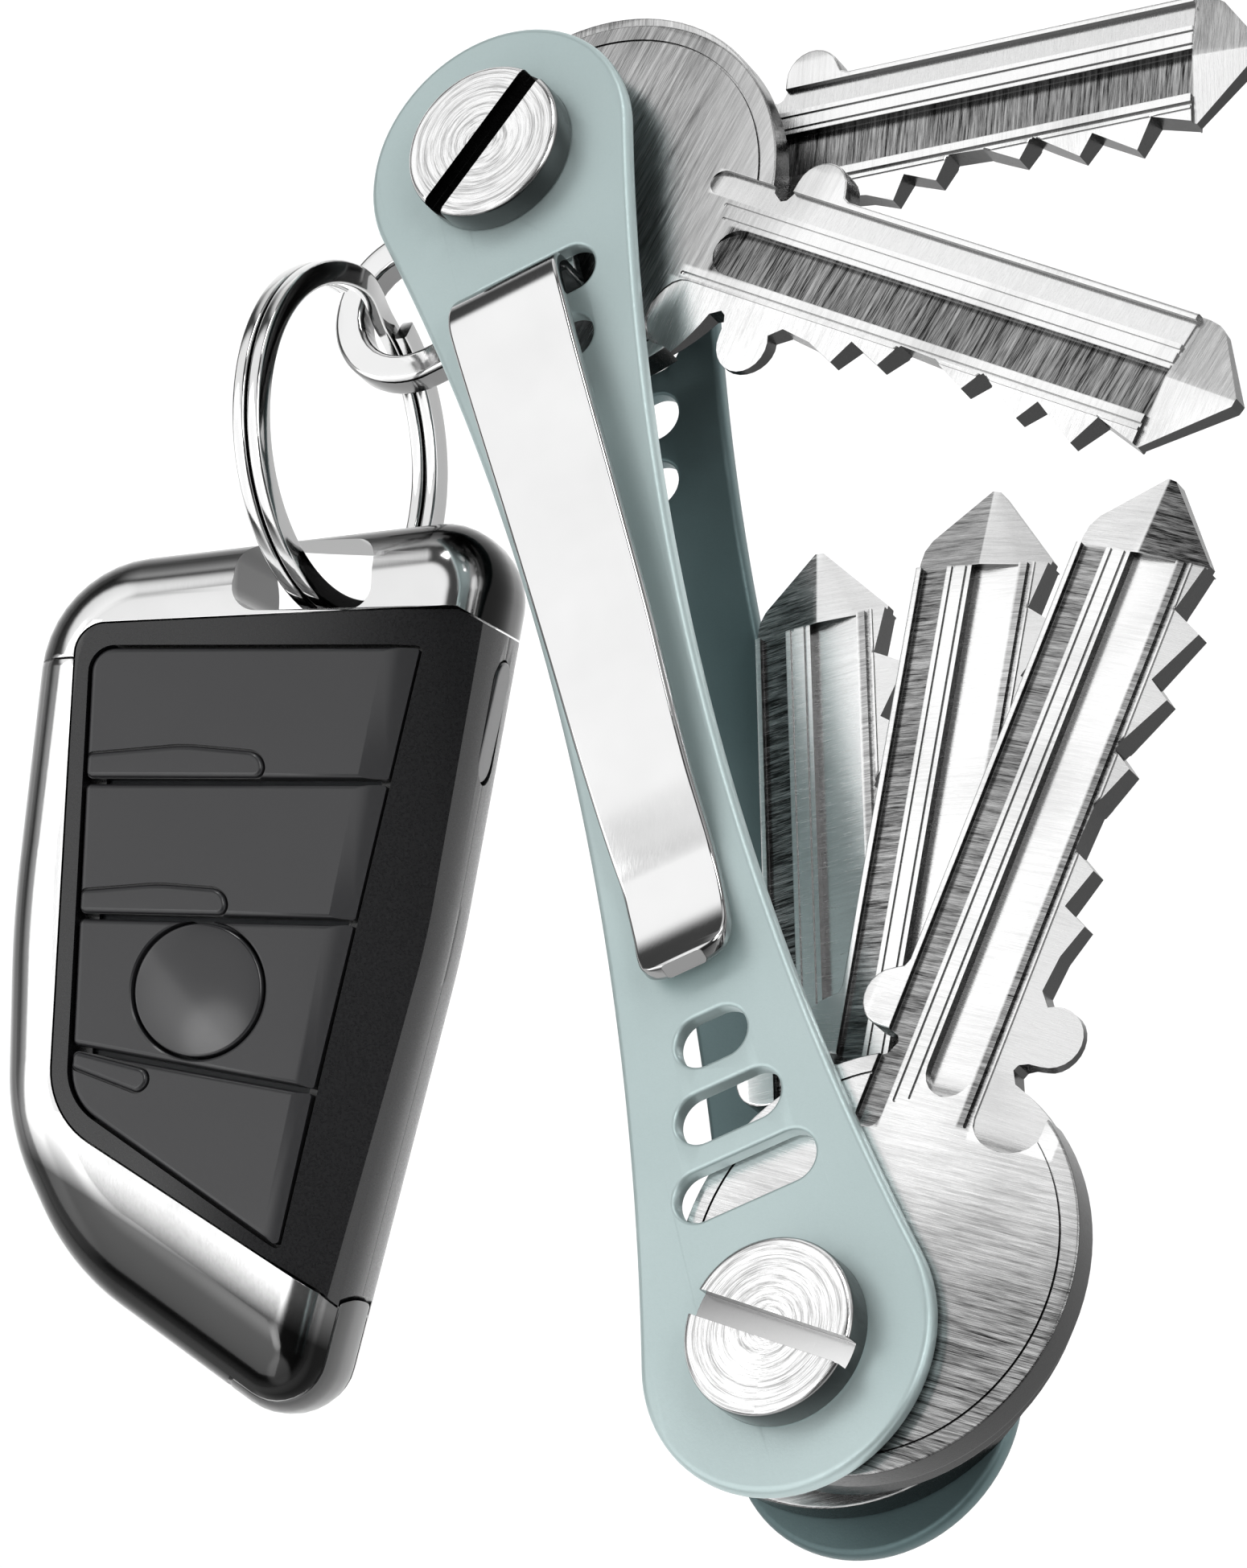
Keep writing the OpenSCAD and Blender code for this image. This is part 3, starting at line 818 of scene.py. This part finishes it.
def clip():
    """The strap, and the hidden tongue that holds it on the upper post."""
    line = smooth_line(CLIP_LINE)
    rings = []
    for i, p in enumerate(line):
        d = line[min(i + 1, len(line) - 1)] - line[max(i - 1, 0)]
        along = Vector((d[0], d[1])).normalized()
        up = Vector((-along.y, along.x))
        half = (p[3] - p[2]) / 2
        rings.append([(p[0] + up.x * t, (p[2] + p[3]) / 2 - w, PLATE_TOP + p[1] + up.y * t)
                      for w, t in section(half, CLIP_T / 2, CLIP_RIM)])
    strap = loft("pocket_clip_strap", rings)
    finish(strap, "organiser", "pocket_clip", CLIP, smooth=60)
    under = PLATE_TOP - PLATE_T
    (x0, x1), (y0, y1) = TONGUE_X, TONGUE_Y
    loop = [(x0, y1), (x0, y0), (x1, y0)] + arc(SPAN, 0, TONGUE_R, -150, 150) + [(x1, y1)]
    hole = circle(SPAN, 0, POST_R)[::-1]
    tongue = slab("pocket_clip_tongue", [loop, hole], under - CLIP_T, under, 0.08)
    finish(tongue, "organiser", None, CLIP)


# -------------------------------- keys

# Milled bands: across the blade from .. to, depth at each edge, and where the band starts
BANDS = [
    (3.86, 2.45, 0.3, 0.14, 10.8), (2.2, 1.98, 0.1, 0.1, 12.3), (1.45, 1.3, 0.1, 0.1, 12.6),
    (1.1, -1.45, 0.5, 0.34, 13.1), (-1.9, -2.12, 0.16, 0.16, 11.9), (-2.3, -6, 0.1, 0.62, 11.2)
]


def key_outline(shorter):
    """Head, neck with two shoulder bumps, teeth, nose and straight back."""
    lean = degrees(atan2(NECK, sqrt(KEY_HEAD_R ** 2 - NECK ** 2)))
    loop = arc(HEAD_U, 0, KEY_HEAD_R, lean + 2, 358 - lean, 4)
    loop += [(15.2, -3.2), (15.5, -3.35), (15.68, -3.8)] + arc(STOP_U, -4.4, 1.5, 180, 390, 15)
    loop += [(along_blade(u, shorter), v) for u, v in TEETH + NOSE]
    loop += [(19.2, BACK), (18.85, 4.35)] + arc(STOP_U, 4.4, 1.5, 20, 180, 16)
    loop += [(15.68, 3.8), (15.5, 3.35), (15.2, 3.2)]
    return loop


def mill(stop, face, side):
    """One long cutter for each band, with a rounded start. side is 1 for the top face."""
    cutters = []
    for high_v, low_v, high_d, low_d, start in BANDS:
        rings = []
        middle = (high_v + low_v) / 2
        half = (high_v - low_v) / 2
        reach = min(1.3, half * 1.1)
        for k in range(6):
            share = max(0.02, sin(k / 5 * pi / 2))
            u = start + reach * (1 - cos(k / 5 * pi / 2))
            a, b = middle + half * share, middle - half * share
            at = [high_d + (low_d - high_d) * (high_v - v) / (2 * half) for v in (a, b)]
            rings.append([(u, a, face + side), (u, a, face - side * at[0] * share),
                          (u, b, face - side * at[1] * share), (u, b, face + side)])
        rings.append([(stop, y, z) for x, y, z in rings[-1]])
        cutters.append(loft("mill", rings))
    return join(cutters)


def join(objs):
    """Several separate closed meshes as one."""
    bm = bmesh.new()
    for obj in objs:
        bm.from_mesh(obj.data)
    made = bpy.data.meshes.new(objs[0].name)
    bm.to_mesh(made)
    bm.free()
    first = objs[0]
    for obj in objs[1:]:
        bpy.data.objects.remove(obj)
    first.data = made
    return first


def nose_cutter(stop, tip, face, side):
    """Two sloped facets that meet on a ridge from the end of the channel to the tip."""
    ridge = 0.7
    end = stop + 7
    across = [(stop, 6), (stop, ridge), (stop, -6), (end, -6), (end, ridge), (end, 6)]
    verts = []
    for u, v in across:
        fall = NOSE_DEPTH * ((u - stop) * 0.5 / (tip - stop) + abs(v - ridge) / 4.2)
        verts.append((u, v, face - side * fall))
    verts += [(u, v, face + side) for u, v in across]
    faces = [(0, 1, 4, 5), (1, 2, 3, 4), (6, 7, 10, 11), (7, 8, 9, 10)]
    faces += [(i, (i + 1) % 6, 6 + (i + 1) % 6, 6 + i) for i in range(6)]
    return mesh_object("nose", verts, faces)


def rim_cutter(face, side):
    """A fine engraved circle just inside the head's edge."""
    rings = []
    for x, y in arc(0, 0, 1, 24, 336, 3):
        rings.append([(HEAD_U + r * x, r * y, face + side * h)
                      for r, h in ((9.36, 0.2), (9.42, -0.12), (9.5, -0.12), (9.56, 0.2))])
    return loft("rim", rings)


def key(node):
    """A key milled on both faces, turned to the way it points and set on its post."""
    x, angle, v_shift, u_shift, shorter = KEYS[node]
    bottom, top = low(node).z, high(node).z
    stop, tip = along_blade(NOSE_U, shorter), FULL_REACH - shorter
    obj = slab(node + "_skin", [key_outline(shorter)], bottom, top, 0.13)
    for face, side in ((top, 1), (bottom, -1)):
        cut(obj, mill(stop + 0.02 * side, face, side))
        cut(obj, nose_cutter(stop, tip, face, side))
        cut(obj, rim_cutter(face, side))
    obj.data.transform(Matrix.Translation((u_shift, v_shift, 0)))
    hole = [(CORE, bottom - 1), (POST_R, bottom - 1), (POST_R, top + 1), (CORE, top + 1)]
    cut(obj, lathe("hole", hole, 0, 0, 64))
    weld(obj)
    place = Matrix.Translation((x, 0, 0)) @ Matrix.Rotation(radians(angle), 4, "Z")
    finish(obj, node, node, KEY_STEEL[node], place, 24)


# -------------------------------- loop tab and split ring

TAB_R = 5.4
TAB_EYE = 9.65
TAB_EYE_R = 4.65
EYE_OUTLINE = [((-2.95, 7.9), 0.9), ((2.95, 7.9), 0.9), ((2.95, 12.6), 2.9), ((-2.95, 12.6), 2.9)]
RING_START = 101
RING_WOUND = 687
RING_CROSSES = 430
RING_CROSSING = 30
RING_LIE = -111.3


def loop_tab():
    """A flat eye with a slot for the ring."""
    bottom, top = low("loop_tab").z, high("loop_tab").z
    loop = arc(0, TAB_EYE, TAB_EYE_R, 0, 180) + arc(0, 0, TAB_R, 149.4, 390.6)
    loops = [loop, outline(EYE_OUTLINE)[::-1], circle(0, 0, POST_R)[::-1]]
    obj = slab("loop_tab_skin", loops, bottom, top, [0.3, 0.3, 0.1])
    finish(obj, "tab", "loop_tab", TAB, Matrix.Translation((SPAN, 0, 0)))


def split_ring():
    """Flat wire wound for almost two turns, stepping across between them."""
    offset = (RING_TURN + RING_GAP) / 2
    middle = RING_R - RING_W / 2
    rings = []
    count = 240
    for k in range(count + 1):
        t = RING_START + RING_WOUND * k / count
        share = max(0, min(1, (t - RING_CROSSES) / RING_CROSSING))
        shift = offset * (2 * share * share * (3 - 2 * share) - 1)
        c, s = cos(radians(t)), sin(radians(t))
        rings.append([((middle + a) * c, (middle + a) * s, shift + b)
                      for a, b in section(RING_W / 2, RING_TURN / 2, 0.16)])
    obj = loft("split_ring_wire", rings)
    place = Matrix.Translation((low("split_ring") + high("split_ring")) / 2)
    turn = Matrix.Rotation(radians(RING_LIE), 4, "Z") @ Matrix.Rotation(pi / 2, 4, "Y")
    finish(obj, "ring", "split_ring", RING, place @ turn, 60)


# -------------------------------- remote fob

# Clockwise corners of the fob: place, radius, and how far the front and the back faces sit
# inside the side that starts there
FOB_SIDES = [
    ((-15.6, -0.4), 6.5, 3.0, 2.2), ((10, 2.4), 3.6, 3.0, 1.15), ((6.7, -20), 60, 3.0, 1.15),
    ((0.9, -46), 3.0, 4.3, 2.6), ((-12.9, -37), 13, 3.7, 2.4), ((-16.6, -30), 13, 3.2, 2.2),
    ((-16.9, -19), 60, 3.0, 2.2)
]
BODY_OUTLINE = [
    ((-13.2, -3.8), 1.6), ((7.2, -2.9), 0.4), ((14, -6.4), 0.4), ((8, -44.5), 0.4),
    ((1.4, -38.1), 0.4), ((-13.4, -29.4), 4.5)
]
PANEL_OUTLINE = [
    ((-12.4, -4.9), 1.4), ((5.5, -4.9), 0.3), ((-0.7, -36.1), 0.3), ((-12.5, -28.6), 3.2)
]
SLOT_OUTLINE = [((-4.8, -3.1), 1.3), ((2.7, -3.1), 1.3), ((2.7, 0.85), 1.3), ((-4.8, 0.85), 1.3)]
LIPS = {
    "upper_pad": [
        ((-12.2, -11.82), 0.3), ((-2.5, -11.82), 0.5), ((-2.8, -10.5), 0.9), ((-7, -10.15), 9),
        ((-12.2, -10.6), 0.3)
    ],
    "second_pad": [
        ((-12.2, -18.85), 0.3), ((-4.2, -18.95), 0.5), ((-4.4, -17.6), 0.9), ((-8, -17.35), 9),
        ((-12.2, -17.7), 0.3)
    ],
    "lower_pad": [
        ((-12.2, -26.9), 0.3), ((-8.6, -28.15), 0.5), ((-7.4, -27.1), 0.6), ((-12.2, -26), 0.3)
    ],
}
# Each seam's height at SEAM_LEFT and at SEAM_RIGHT
PAD_SEAMS = [(-4.9, -4.9), (-12, -12), (-19, -19.3), (-25.7, -28.9)]
SEAM_LEFT, SEAM_RIGHT = -13, 7
ROUND_AT = (-5.6, -22.8)
ROUND_R = 3.45
LEDGE = 2.5
SIDE_LEAN = 10.7
WALL_HALF = 0.4
# Each end of the crease: how high, how far across
CREASE = ((2, 4.75), (-42, -2.75))
CREASE_REACH = 9
CREASE_FALL = 2.6
BODY_GAP = 0.05
CAP_END = -5.5
TRIM_END = -5.62
HALVES_MEET = (0, 0.03)
HOLLOW = (-3.2, 2)
RIM_UNDER = 0.8
POCKET_SIZE = (6.5, 3, 6.4)
POCKET_AT = (-1.05, -2.5, 0)
BLADE_LEAN = -13
BLADE_SIZE = (3.6, 28.5, 1.3)
BLADE_TOP = Vector((3.6, -13.2, -1))
TIP_SIZE = (9, 12, 4.2)
TIP_AT = Vector((-1.2, -40.9, 0))
TIP_SHIFT = 0.5
TIP_TURN = 48
TIP_GAP = 0.14
RELEASE_AT = (7.98, -8.3, 0)
RELEASE_R = 1.1
RELEASE_HALF = 2.1
PRESS_RIM = 0.16
CROWN = 0.3


def ccw(corners):
    """The outlines above run clockwise, so this turns them round."""
    return corners[::-1]


def fob_shape(name):
    """The fob's whole outside: straight walls that round over to the front and the back."""
    steps = 9
    half = FOB_T / 2
    count = len(FOB_SIDES)
    corners = ccw([side[:2] for side in FOB_SIDES])
    # Turning the corners round also changes which side follows which corner
    front, back = ([FOB_SIDES[(count - 2 - i) % count][k] for i in range(count)] for k in (2, 3))
    rings = []
    for insets, side in ((back, -1), (front, 1)):
        for k in range(steps + 1):
            t = pi / 2 * (k if side > 0 else steps - k) / steps
            loop = outline(corners, [a * (1 - cos(t)) for a in insets], 10, 0.3)
            z = side * (WALL_HALF + (half - WALL_HALF) * sin(t))
            rings.append([(x, y, z) for x, y in loop])
    return loft(name, rings)


def prism(name, corners, grow, bottom, top):
    """An upright bar with one of the outlines above, grown or, below 0, made smaller."""
    return bar(name, outline(ccw(corners), -grow, 10), bottom, top)


def seam(i, x):
    """How high seam i is at x."""
    left, right = PAD_SEAMS[i]
    return left + (right - left) * (x - SEAM_LEFT) / (SEAM_RIGHT - SEAM_LEFT)


def right_side(y):
    """Where the panel's right side is at y."""
    (x0, y0), (x1, y1) = PANEL_OUTLINE[1][0], PANEL_OUTLINE[2][0]
    return x0 + (x1 - x0) * (y - y0) / (y1 - y0)


def pad_corners(i):
    """An anticlockwise pad outline between seam i and the next, before it's moved in."""
    left = PANEL_OUTLINE[0][0][0]
    top_right = right_side(seam(i, 4))
    corners = [((left, seam(i, left)), PANEL_OUTLINE[0][1] if i == 0 else 0.45)]
    if i == 3:
        corners += [(PANEL_OUTLINE[3][0], PANEL_OUTLINE[3][1]), (PANEL_OUTLINE[2][0], 0.4)]
    else:
        low_right = right_side(seam(i + 1, 3))
        corners += [((left, seam(i + 1, left)), 0.45), ((low_right, seam(i + 1, low_right)), 0.3)]
    return corners + [((top_right, seam(i, top_right)), 0.3)]


def crease_cutter():
    """Slopes the fob's face down to the right of a slanted crease."""
    rings = []
    for y, x in CREASE:
        far = x + CREASE_REACH
        low_z = PAD_TOP - CREASE_FALL
        rings.append([(x, y, PAD_TOP + 0.001), (far, y, low_z), (far, y, 8), (x, y, 8)])
    return loft("crease", rings)


def cushion(name, corners, inset, bottom, top, rim):
    """A flat piece whose top edge rounds over."""
    rings = [(bottom, inset)]
    rings += [(top - rim * (1 - sin(t)), inset + rim * (1 - cos(t))) for t in quarter(4)]
    return loft(name, [[(x, y, z) for x, y in outline(corners, d, 8)] for z, d in rings])


def pad(node, i):
    """The pad below seam i. The middle one is fixed, and has the round button's hole."""
    bottom = PAD_TOP - PAD_T if node != "middle_panel" else LEDGE
    obj = cushion(node + "_skin", pad_corners(i), GROOVE / 2 + 0.03, bottom, PAD_TOP, 0.28)
    if node == "middle_panel":
        r = ROUND_R + 0.13
        hole = [(CORE, bottom - 1), (r, bottom - 1), (r, PAD_TOP - 0.2), (r + 0.06, PAD_TOP - 0.06),
                (r + 0.3, PAD_TOP + 0.1), (CORE, PAD_TOP + 0.1)]
        cut(obj, lathe("hole", hole, *ROUND_AT))
    cut(obj, crease_cutter())
    if node in LIPS:
        cut(obj, cushion("groove", LIPS[node], -0.1, PAD_TOP - 0.3, PAD_TOP + 1, 0.01))
        raised = cushion("lip", LIPS[node], 0.0, PAD_TOP - 0.5, PAD_TOP + 0.12, 0.25)
        cut(obj, raised, "UNION")
    weld(obj)
    body = "fob" if node == "middle_panel" else node
    finish(obj, body, node, PANEL, FOB, 30)


def round_button():
    """A disc with a low crown."""
    base = PAD_TOP - PAD_T
    flat = ROUND_R - PRESS_RIM
    profile = [(CORE, base), (ROUND_R, base)]
    profile += [(ROUND_R - PRESS_RIM * (1 - cos(t)), PAD_TOP - PRESS_RIM * (1 - sin(t)))
                for t in quarter(4)]
    crown = [flat * (1 - k / 10) for k in range(1, 10)]
    profile += [(r, PAD_TOP + CROWN * (1 - (r / flat) ** 2)) for r in crown]
    profile.append((CORE, PAD_TOP + CROWN))
    obj = lathe("round_button_dome", profile, *ROUND_AT)
    finish(obj, "round_button", "round_button", BUTTON, FOB, 50)


def tip_block(gap):
    """The slanted end of the fob that comes away with the spare blade."""
    turn = Matrix.Rotation(radians(BLADE_LEAN + TIP_TURN), 4, "Z")
    x, y, z = TIP_SIZE
    local = Vector((TIP_SHIFT, (gap - y) / 2, 0))
    return block("tip", (x + 2 * gap, y + gap, z + 2 * gap), TIP_AT + turn @ local, turn)


def blade_block(gap, extra=0.0):
    """The spare blade, or with a gap round it the slot that it slides in."""
    turn = Matrix.Rotation(radians(BLADE_LEAN), 4, "Z")
    x, length, z = BLADE_SIZE
    length += extra
    at = BLADE_TOP + turn @ Vector((0, (gap - length) / 2, 0))
    return block("blade", (x + 2 * gap, length + gap, z + 2 * gap), at, turn)


def cut_slot(obj):
    """Cuts the slot for the ring, and the wider pocket behind it."""
    cut(obj, bar("slot", outline(SLOT_OUTLINE), -9, 9))
    cut(obj, block("pocket", POCKET_SIZE, POCKET_AT))


def release_cutter(grow, span):
    """A round-ended bar that lies across the right wall."""
    turn = Matrix.Rotation(radians(-SIDE_LEAN), 4, "Z")
    r = RELEASE_R + grow
    loop = arc(RELEASE_HALF, 0, r, -90, 90, 10) + arc(-RELEASE_HALF, 0, r, 90, 270, 10)
    obj = loft("release", [[(x, y, z) for y, z in loop] for x in span])
    obj.data.transform(Matrix.Translation(RELEASE_AT) @ turn)
    return obj


def big_block(y=(-60, 60), z=(-60, 60)):
    """Cuts everything away on one side of a plane."""
    spans = ((-60, 60), y, z)
    return block("half", [b - a for a, b in spans], [(a + b) / 2 for a, b in spans])


def fob_chrome_pieces():
    """The cap and the trim: the fob's shape less its black body, cut in two."""
    chrome = fob_shape("chrome")
    cut(chrome, prism("body", BODY_OUTLINE, BODY_GAP, -9, 9))
    cap = copy_of(chrome, "fob_cap_skin")
    cut(cap, big_block(y=(-80, CAP_END)))
    cut_slot(cap)
    soften(cap, 0.22)
    finish(cap, "fob", "fob_cap", CHROME, FOB, 40)
    chrome.name = "fob_trim_skin"
    cut(chrome, big_block(y=(TRIM_END, 40)))
    cut(chrome, tip_block(TIP_GAP))
    cut(chrome, blade_block(0.1, 6))
    soften(chrome, 0.12)
    finish(chrome, "fob", "fob_trim", CHROME_WRAP, FOB, 40)


def fob_black_pieces():
    """The black body, hollowed and split into its front and its rear shell."""
    black = fob_shape("black")
    cut(black, prism("body", BODY_OUTLINE, -BODY_GAP, -9, 9), "INTERSECT")
    cut(black, tip_block(TIP_GAP))
    cut(black, release_cutter(0.1, (-2, 2)))
    cut(black, prism("hollow", PANEL_OUTLINE, 0.3, *HOLLOW))
    cut(black, blade_block(0.1))
    cut_slot(black)
    rear = copy_of(black, "fob_rear_shell_skin")
    cut(rear, big_block(z=(HALVES_MEET[0], 60)))
    soften(rear, 0.1)
    finish(rear, "fob", "fob_rear_shell", BLACK, FOB, 40)
    black.name = "fob_front_cover_skin"
    cut(black, big_block(z=(-60, HALVES_MEET[1])))
    cut(black, prism("window", PANEL_OUTLINE, 0.0, LEDGE, 9))
    cut(black, prism("under", PANEL_OUTLINE, -RIM_UNDER, RIM_UNDER, 9))
    cut(black, crease_cutter())
    soften(black, 0.22)
    finish(black, "fob", "fob_front_cover", BLACK, FOB, 40)


def emergency_key():
    """The tip of the fob, with the spare blade fixed in it."""
    plug = fob_shape("emergency_key_plug")
    cut(plug, tip_block(0), "INTERSECT")
    soften(plug, 0.15)
    finish(plug, "emergency_key", "emergency_key", CHROME_TIP, FOB)
    blade = blade_block(0)
    blade.name = "emergency_key_blade"
    soften(blade, 0.12)
    finish(blade, "emergency_key", None, DARK_STEEL, FOB)


def release_button():
    """The small button in the right wall."""
    obj = release_cutter(0, (-1.7, 0.45))
    obj.name = "release_button_skin"
    soften(obj, 0.15)
    finish(obj, "release_button", "release_button", BUTTON, FOB)


def inner_works():
    """The parts inside the fob keep their CAD meshes."""
    materials = {
        "button_mat": RUBBER, "circuit_board": BOARD, "battery": DARK_STEEL,
        "battery_contacts": BRASS
    }
    for node, material in materials.items():
        obj = frame["nodes"][node]
        obj.data.materials.clear()
        obj.data.materials.append(material)


# -------------------------------- build


def build_frame():
    plate("front_plate", SAGE)
    plate("rear_plate", PAINTED_SHADE_SAGE)
    screw("lower_screw", 0, DRIVER_ANGLES[0], LOW_TURNED)
    screw("upper_screw", SPAN, DRIVER_ANGLES[1], HIGH_TURNED)
    post("lower_post", 0, LOW_TURNED)
    post("upper_post", SPAN, HIGH_TURNED)
    spacers("lower_spacers", 0, LOW_WASHERS, LOW_TURNED)
    spacers("upper_spacers", SPAN, HIGH_WASHERS, HIGH_TURNED)
    clip()


def build_keys():
    for node in KEYS:
        key(node)


def build_fob():
    fob_chrome_pieces()
    fob_black_pieces()
    for i, node in enumerate(("upper_pad", "second_pad", "middle_panel", "lower_pad")):
        pad(node, i)
    round_button()
    release_button()
    emergency_key()
    inner_works()


build_frame()
build_keys()
loop_tab()
split_ring()
build_fob()


# -------------------------------- floor, lights and camera

# The floor is low enough for the fob to hang with its spare blade out
FLOOR_DROP = 0.06
FLOOR_SIZE = 3
CAMERA_AT = (-0.14366, -0.09948, 0.27059)
CAMERA_RIGHT = Vector((-0.197, -0.861, -0.4689))
CAMERA_UP = Vector((0.8225, -0.4054, 0.3989))
CAMERA_LENS = 155.96
# Each softbox: place in metres, width and height, and watts
SOFTBOXES = {
    "key": ((-0.15, 0.5, 0.55), (1.1, 0.85), 3.6),
    "fill": ((0.45, -0.4, 0.5), (0.12, 0.4), 1.1),
    "side": ((-0.1, -0.55, 0.5), (0.4, 0.2), 1.4),
}
LIGHTS_MEET = (0.035, 0, 0.01)


def build_stage():
    """A pale floor."""
    place = (0, 0, CAD_BOX[0][2] - FLOOR_DROP)
    bpy.ops.mesh.primitive_plane_add(size=FLOOR_SIZE, location=place)
    floor = bpy.context.object
    floor.name = "floor"
    n = Surface("floor_white")
    n.set(Roughness=0.9, Specular_IOR_Level=0.0)
    n.set(Emission_Color=(1, 1, 1, 1), Emission_Strength=0.16)
    cloud = n.noise(n.place, 4, 1)
    n.use(Base_Color=n.blend(cloud, (0.93, 0.93, 0.93), (0.95, 0.95, 0.95)))
    floor.data.materials.append(n.material)


# Soft light panels around the object: direction, cosines of the angles where each is full and
# where it has faded out, and brightness
PANELS = [
    ((0.53, 0.31, 0.79), 0.965, 0.88, 1.2), ((-0.13, 0.06, 0.99), 0.975, 0.90, 1.05),
    ((-0.85, 0.35, 0.40), 0.95, 0.86, 0.9), ((0.2, -0.9, 0.38), 0.96, 0.88, 0.8),
    ((0.95, -0.25, 0.2), 0.96, 0.88, 0.9), ((0.1, 0.93, 0.35), 0.96, 0.90, 0.7),
    ((-0.3, -0.94, 0.1), 0.985, 0.95, 3.0), ((-0.42, 0.12, 0.9), 0.993, 0.97, 2.4)
]


def build_world():
    """A dim room that's brighter low down, with the light panels in it."""
    world = bpy.data.worlds.new("studio")
    world.use_nodes = True
    n = Nodes(world.node_tree)
    back = n.add("ShaderNodeBackground")
    n.link(back.outputs[0], n.add("ShaderNodeOutputWorld").inputs[0])
    place = n.add("ShaderNodeTexCoord").outputs["Generated"]
    total = n.spread(n.split(place)[2], -0.05, 0.22, 0.6, 0.07, "SMOOTHSTEP")
    for direction, full, gone, power in PANELS:
        near = n.dot(place, Vector(direction).normalized())
        total = n.math("ADD", total, n.spread(near, gone, full, 0, power, "SMOOTHSTEP"))
    n.link(total, back.inputs["Strength"])
    SCENE.world = world


def softbox(name, at, size, power):
    """A rectangular light that faces the object."""
    light = bpy.data.lights.new(name, "AREA")
    light.shape = "RECTANGLE"
    light.size, light.size_y = size
    light.energy = power
    obj = bpy.data.objects.new(name, light)
    SCENE.collection.objects.link(obj)
    obj.location = at
    obj.rotation_euler = (Vector(LIGHTS_MEET) - Vector(at)).to_track_quat("-Z", "Y").to_euler()


def build_lights():
    build_world()
    for name, (at, size, power) in SOFTBOXES.items():
        softbox(name, at, size, power)
    SCENE.view_settings.view_transform = "Standard"
    SCENE.cycles.use_denoising = True


def build_camera():
    """The camera, turned so that the directions given are its right and its up."""
    right = CAMERA_RIGHT.normalized()
    back = right.cross(CAMERA_UP.normalized()).normalized()
    up = back.cross(right)
    data = bpy.data.cameras.new("camera")
    data.sensor_fit = "VERTICAL"
    data.sensor_height = 36
    data.lens = CAMERA_LENS
    data.clip_start = 0.01
    obj = bpy.data.objects.new("camera", data)
    SCENE.collection.objects.link(obj)
    turn = Matrix((right, up, back)).transposed().to_4x4()
    obj.matrix_world = Matrix.Translation(CAMERA_AT) @ turn
    SCENE.camera = obj


build_stage()
build_lights()
build_camera()
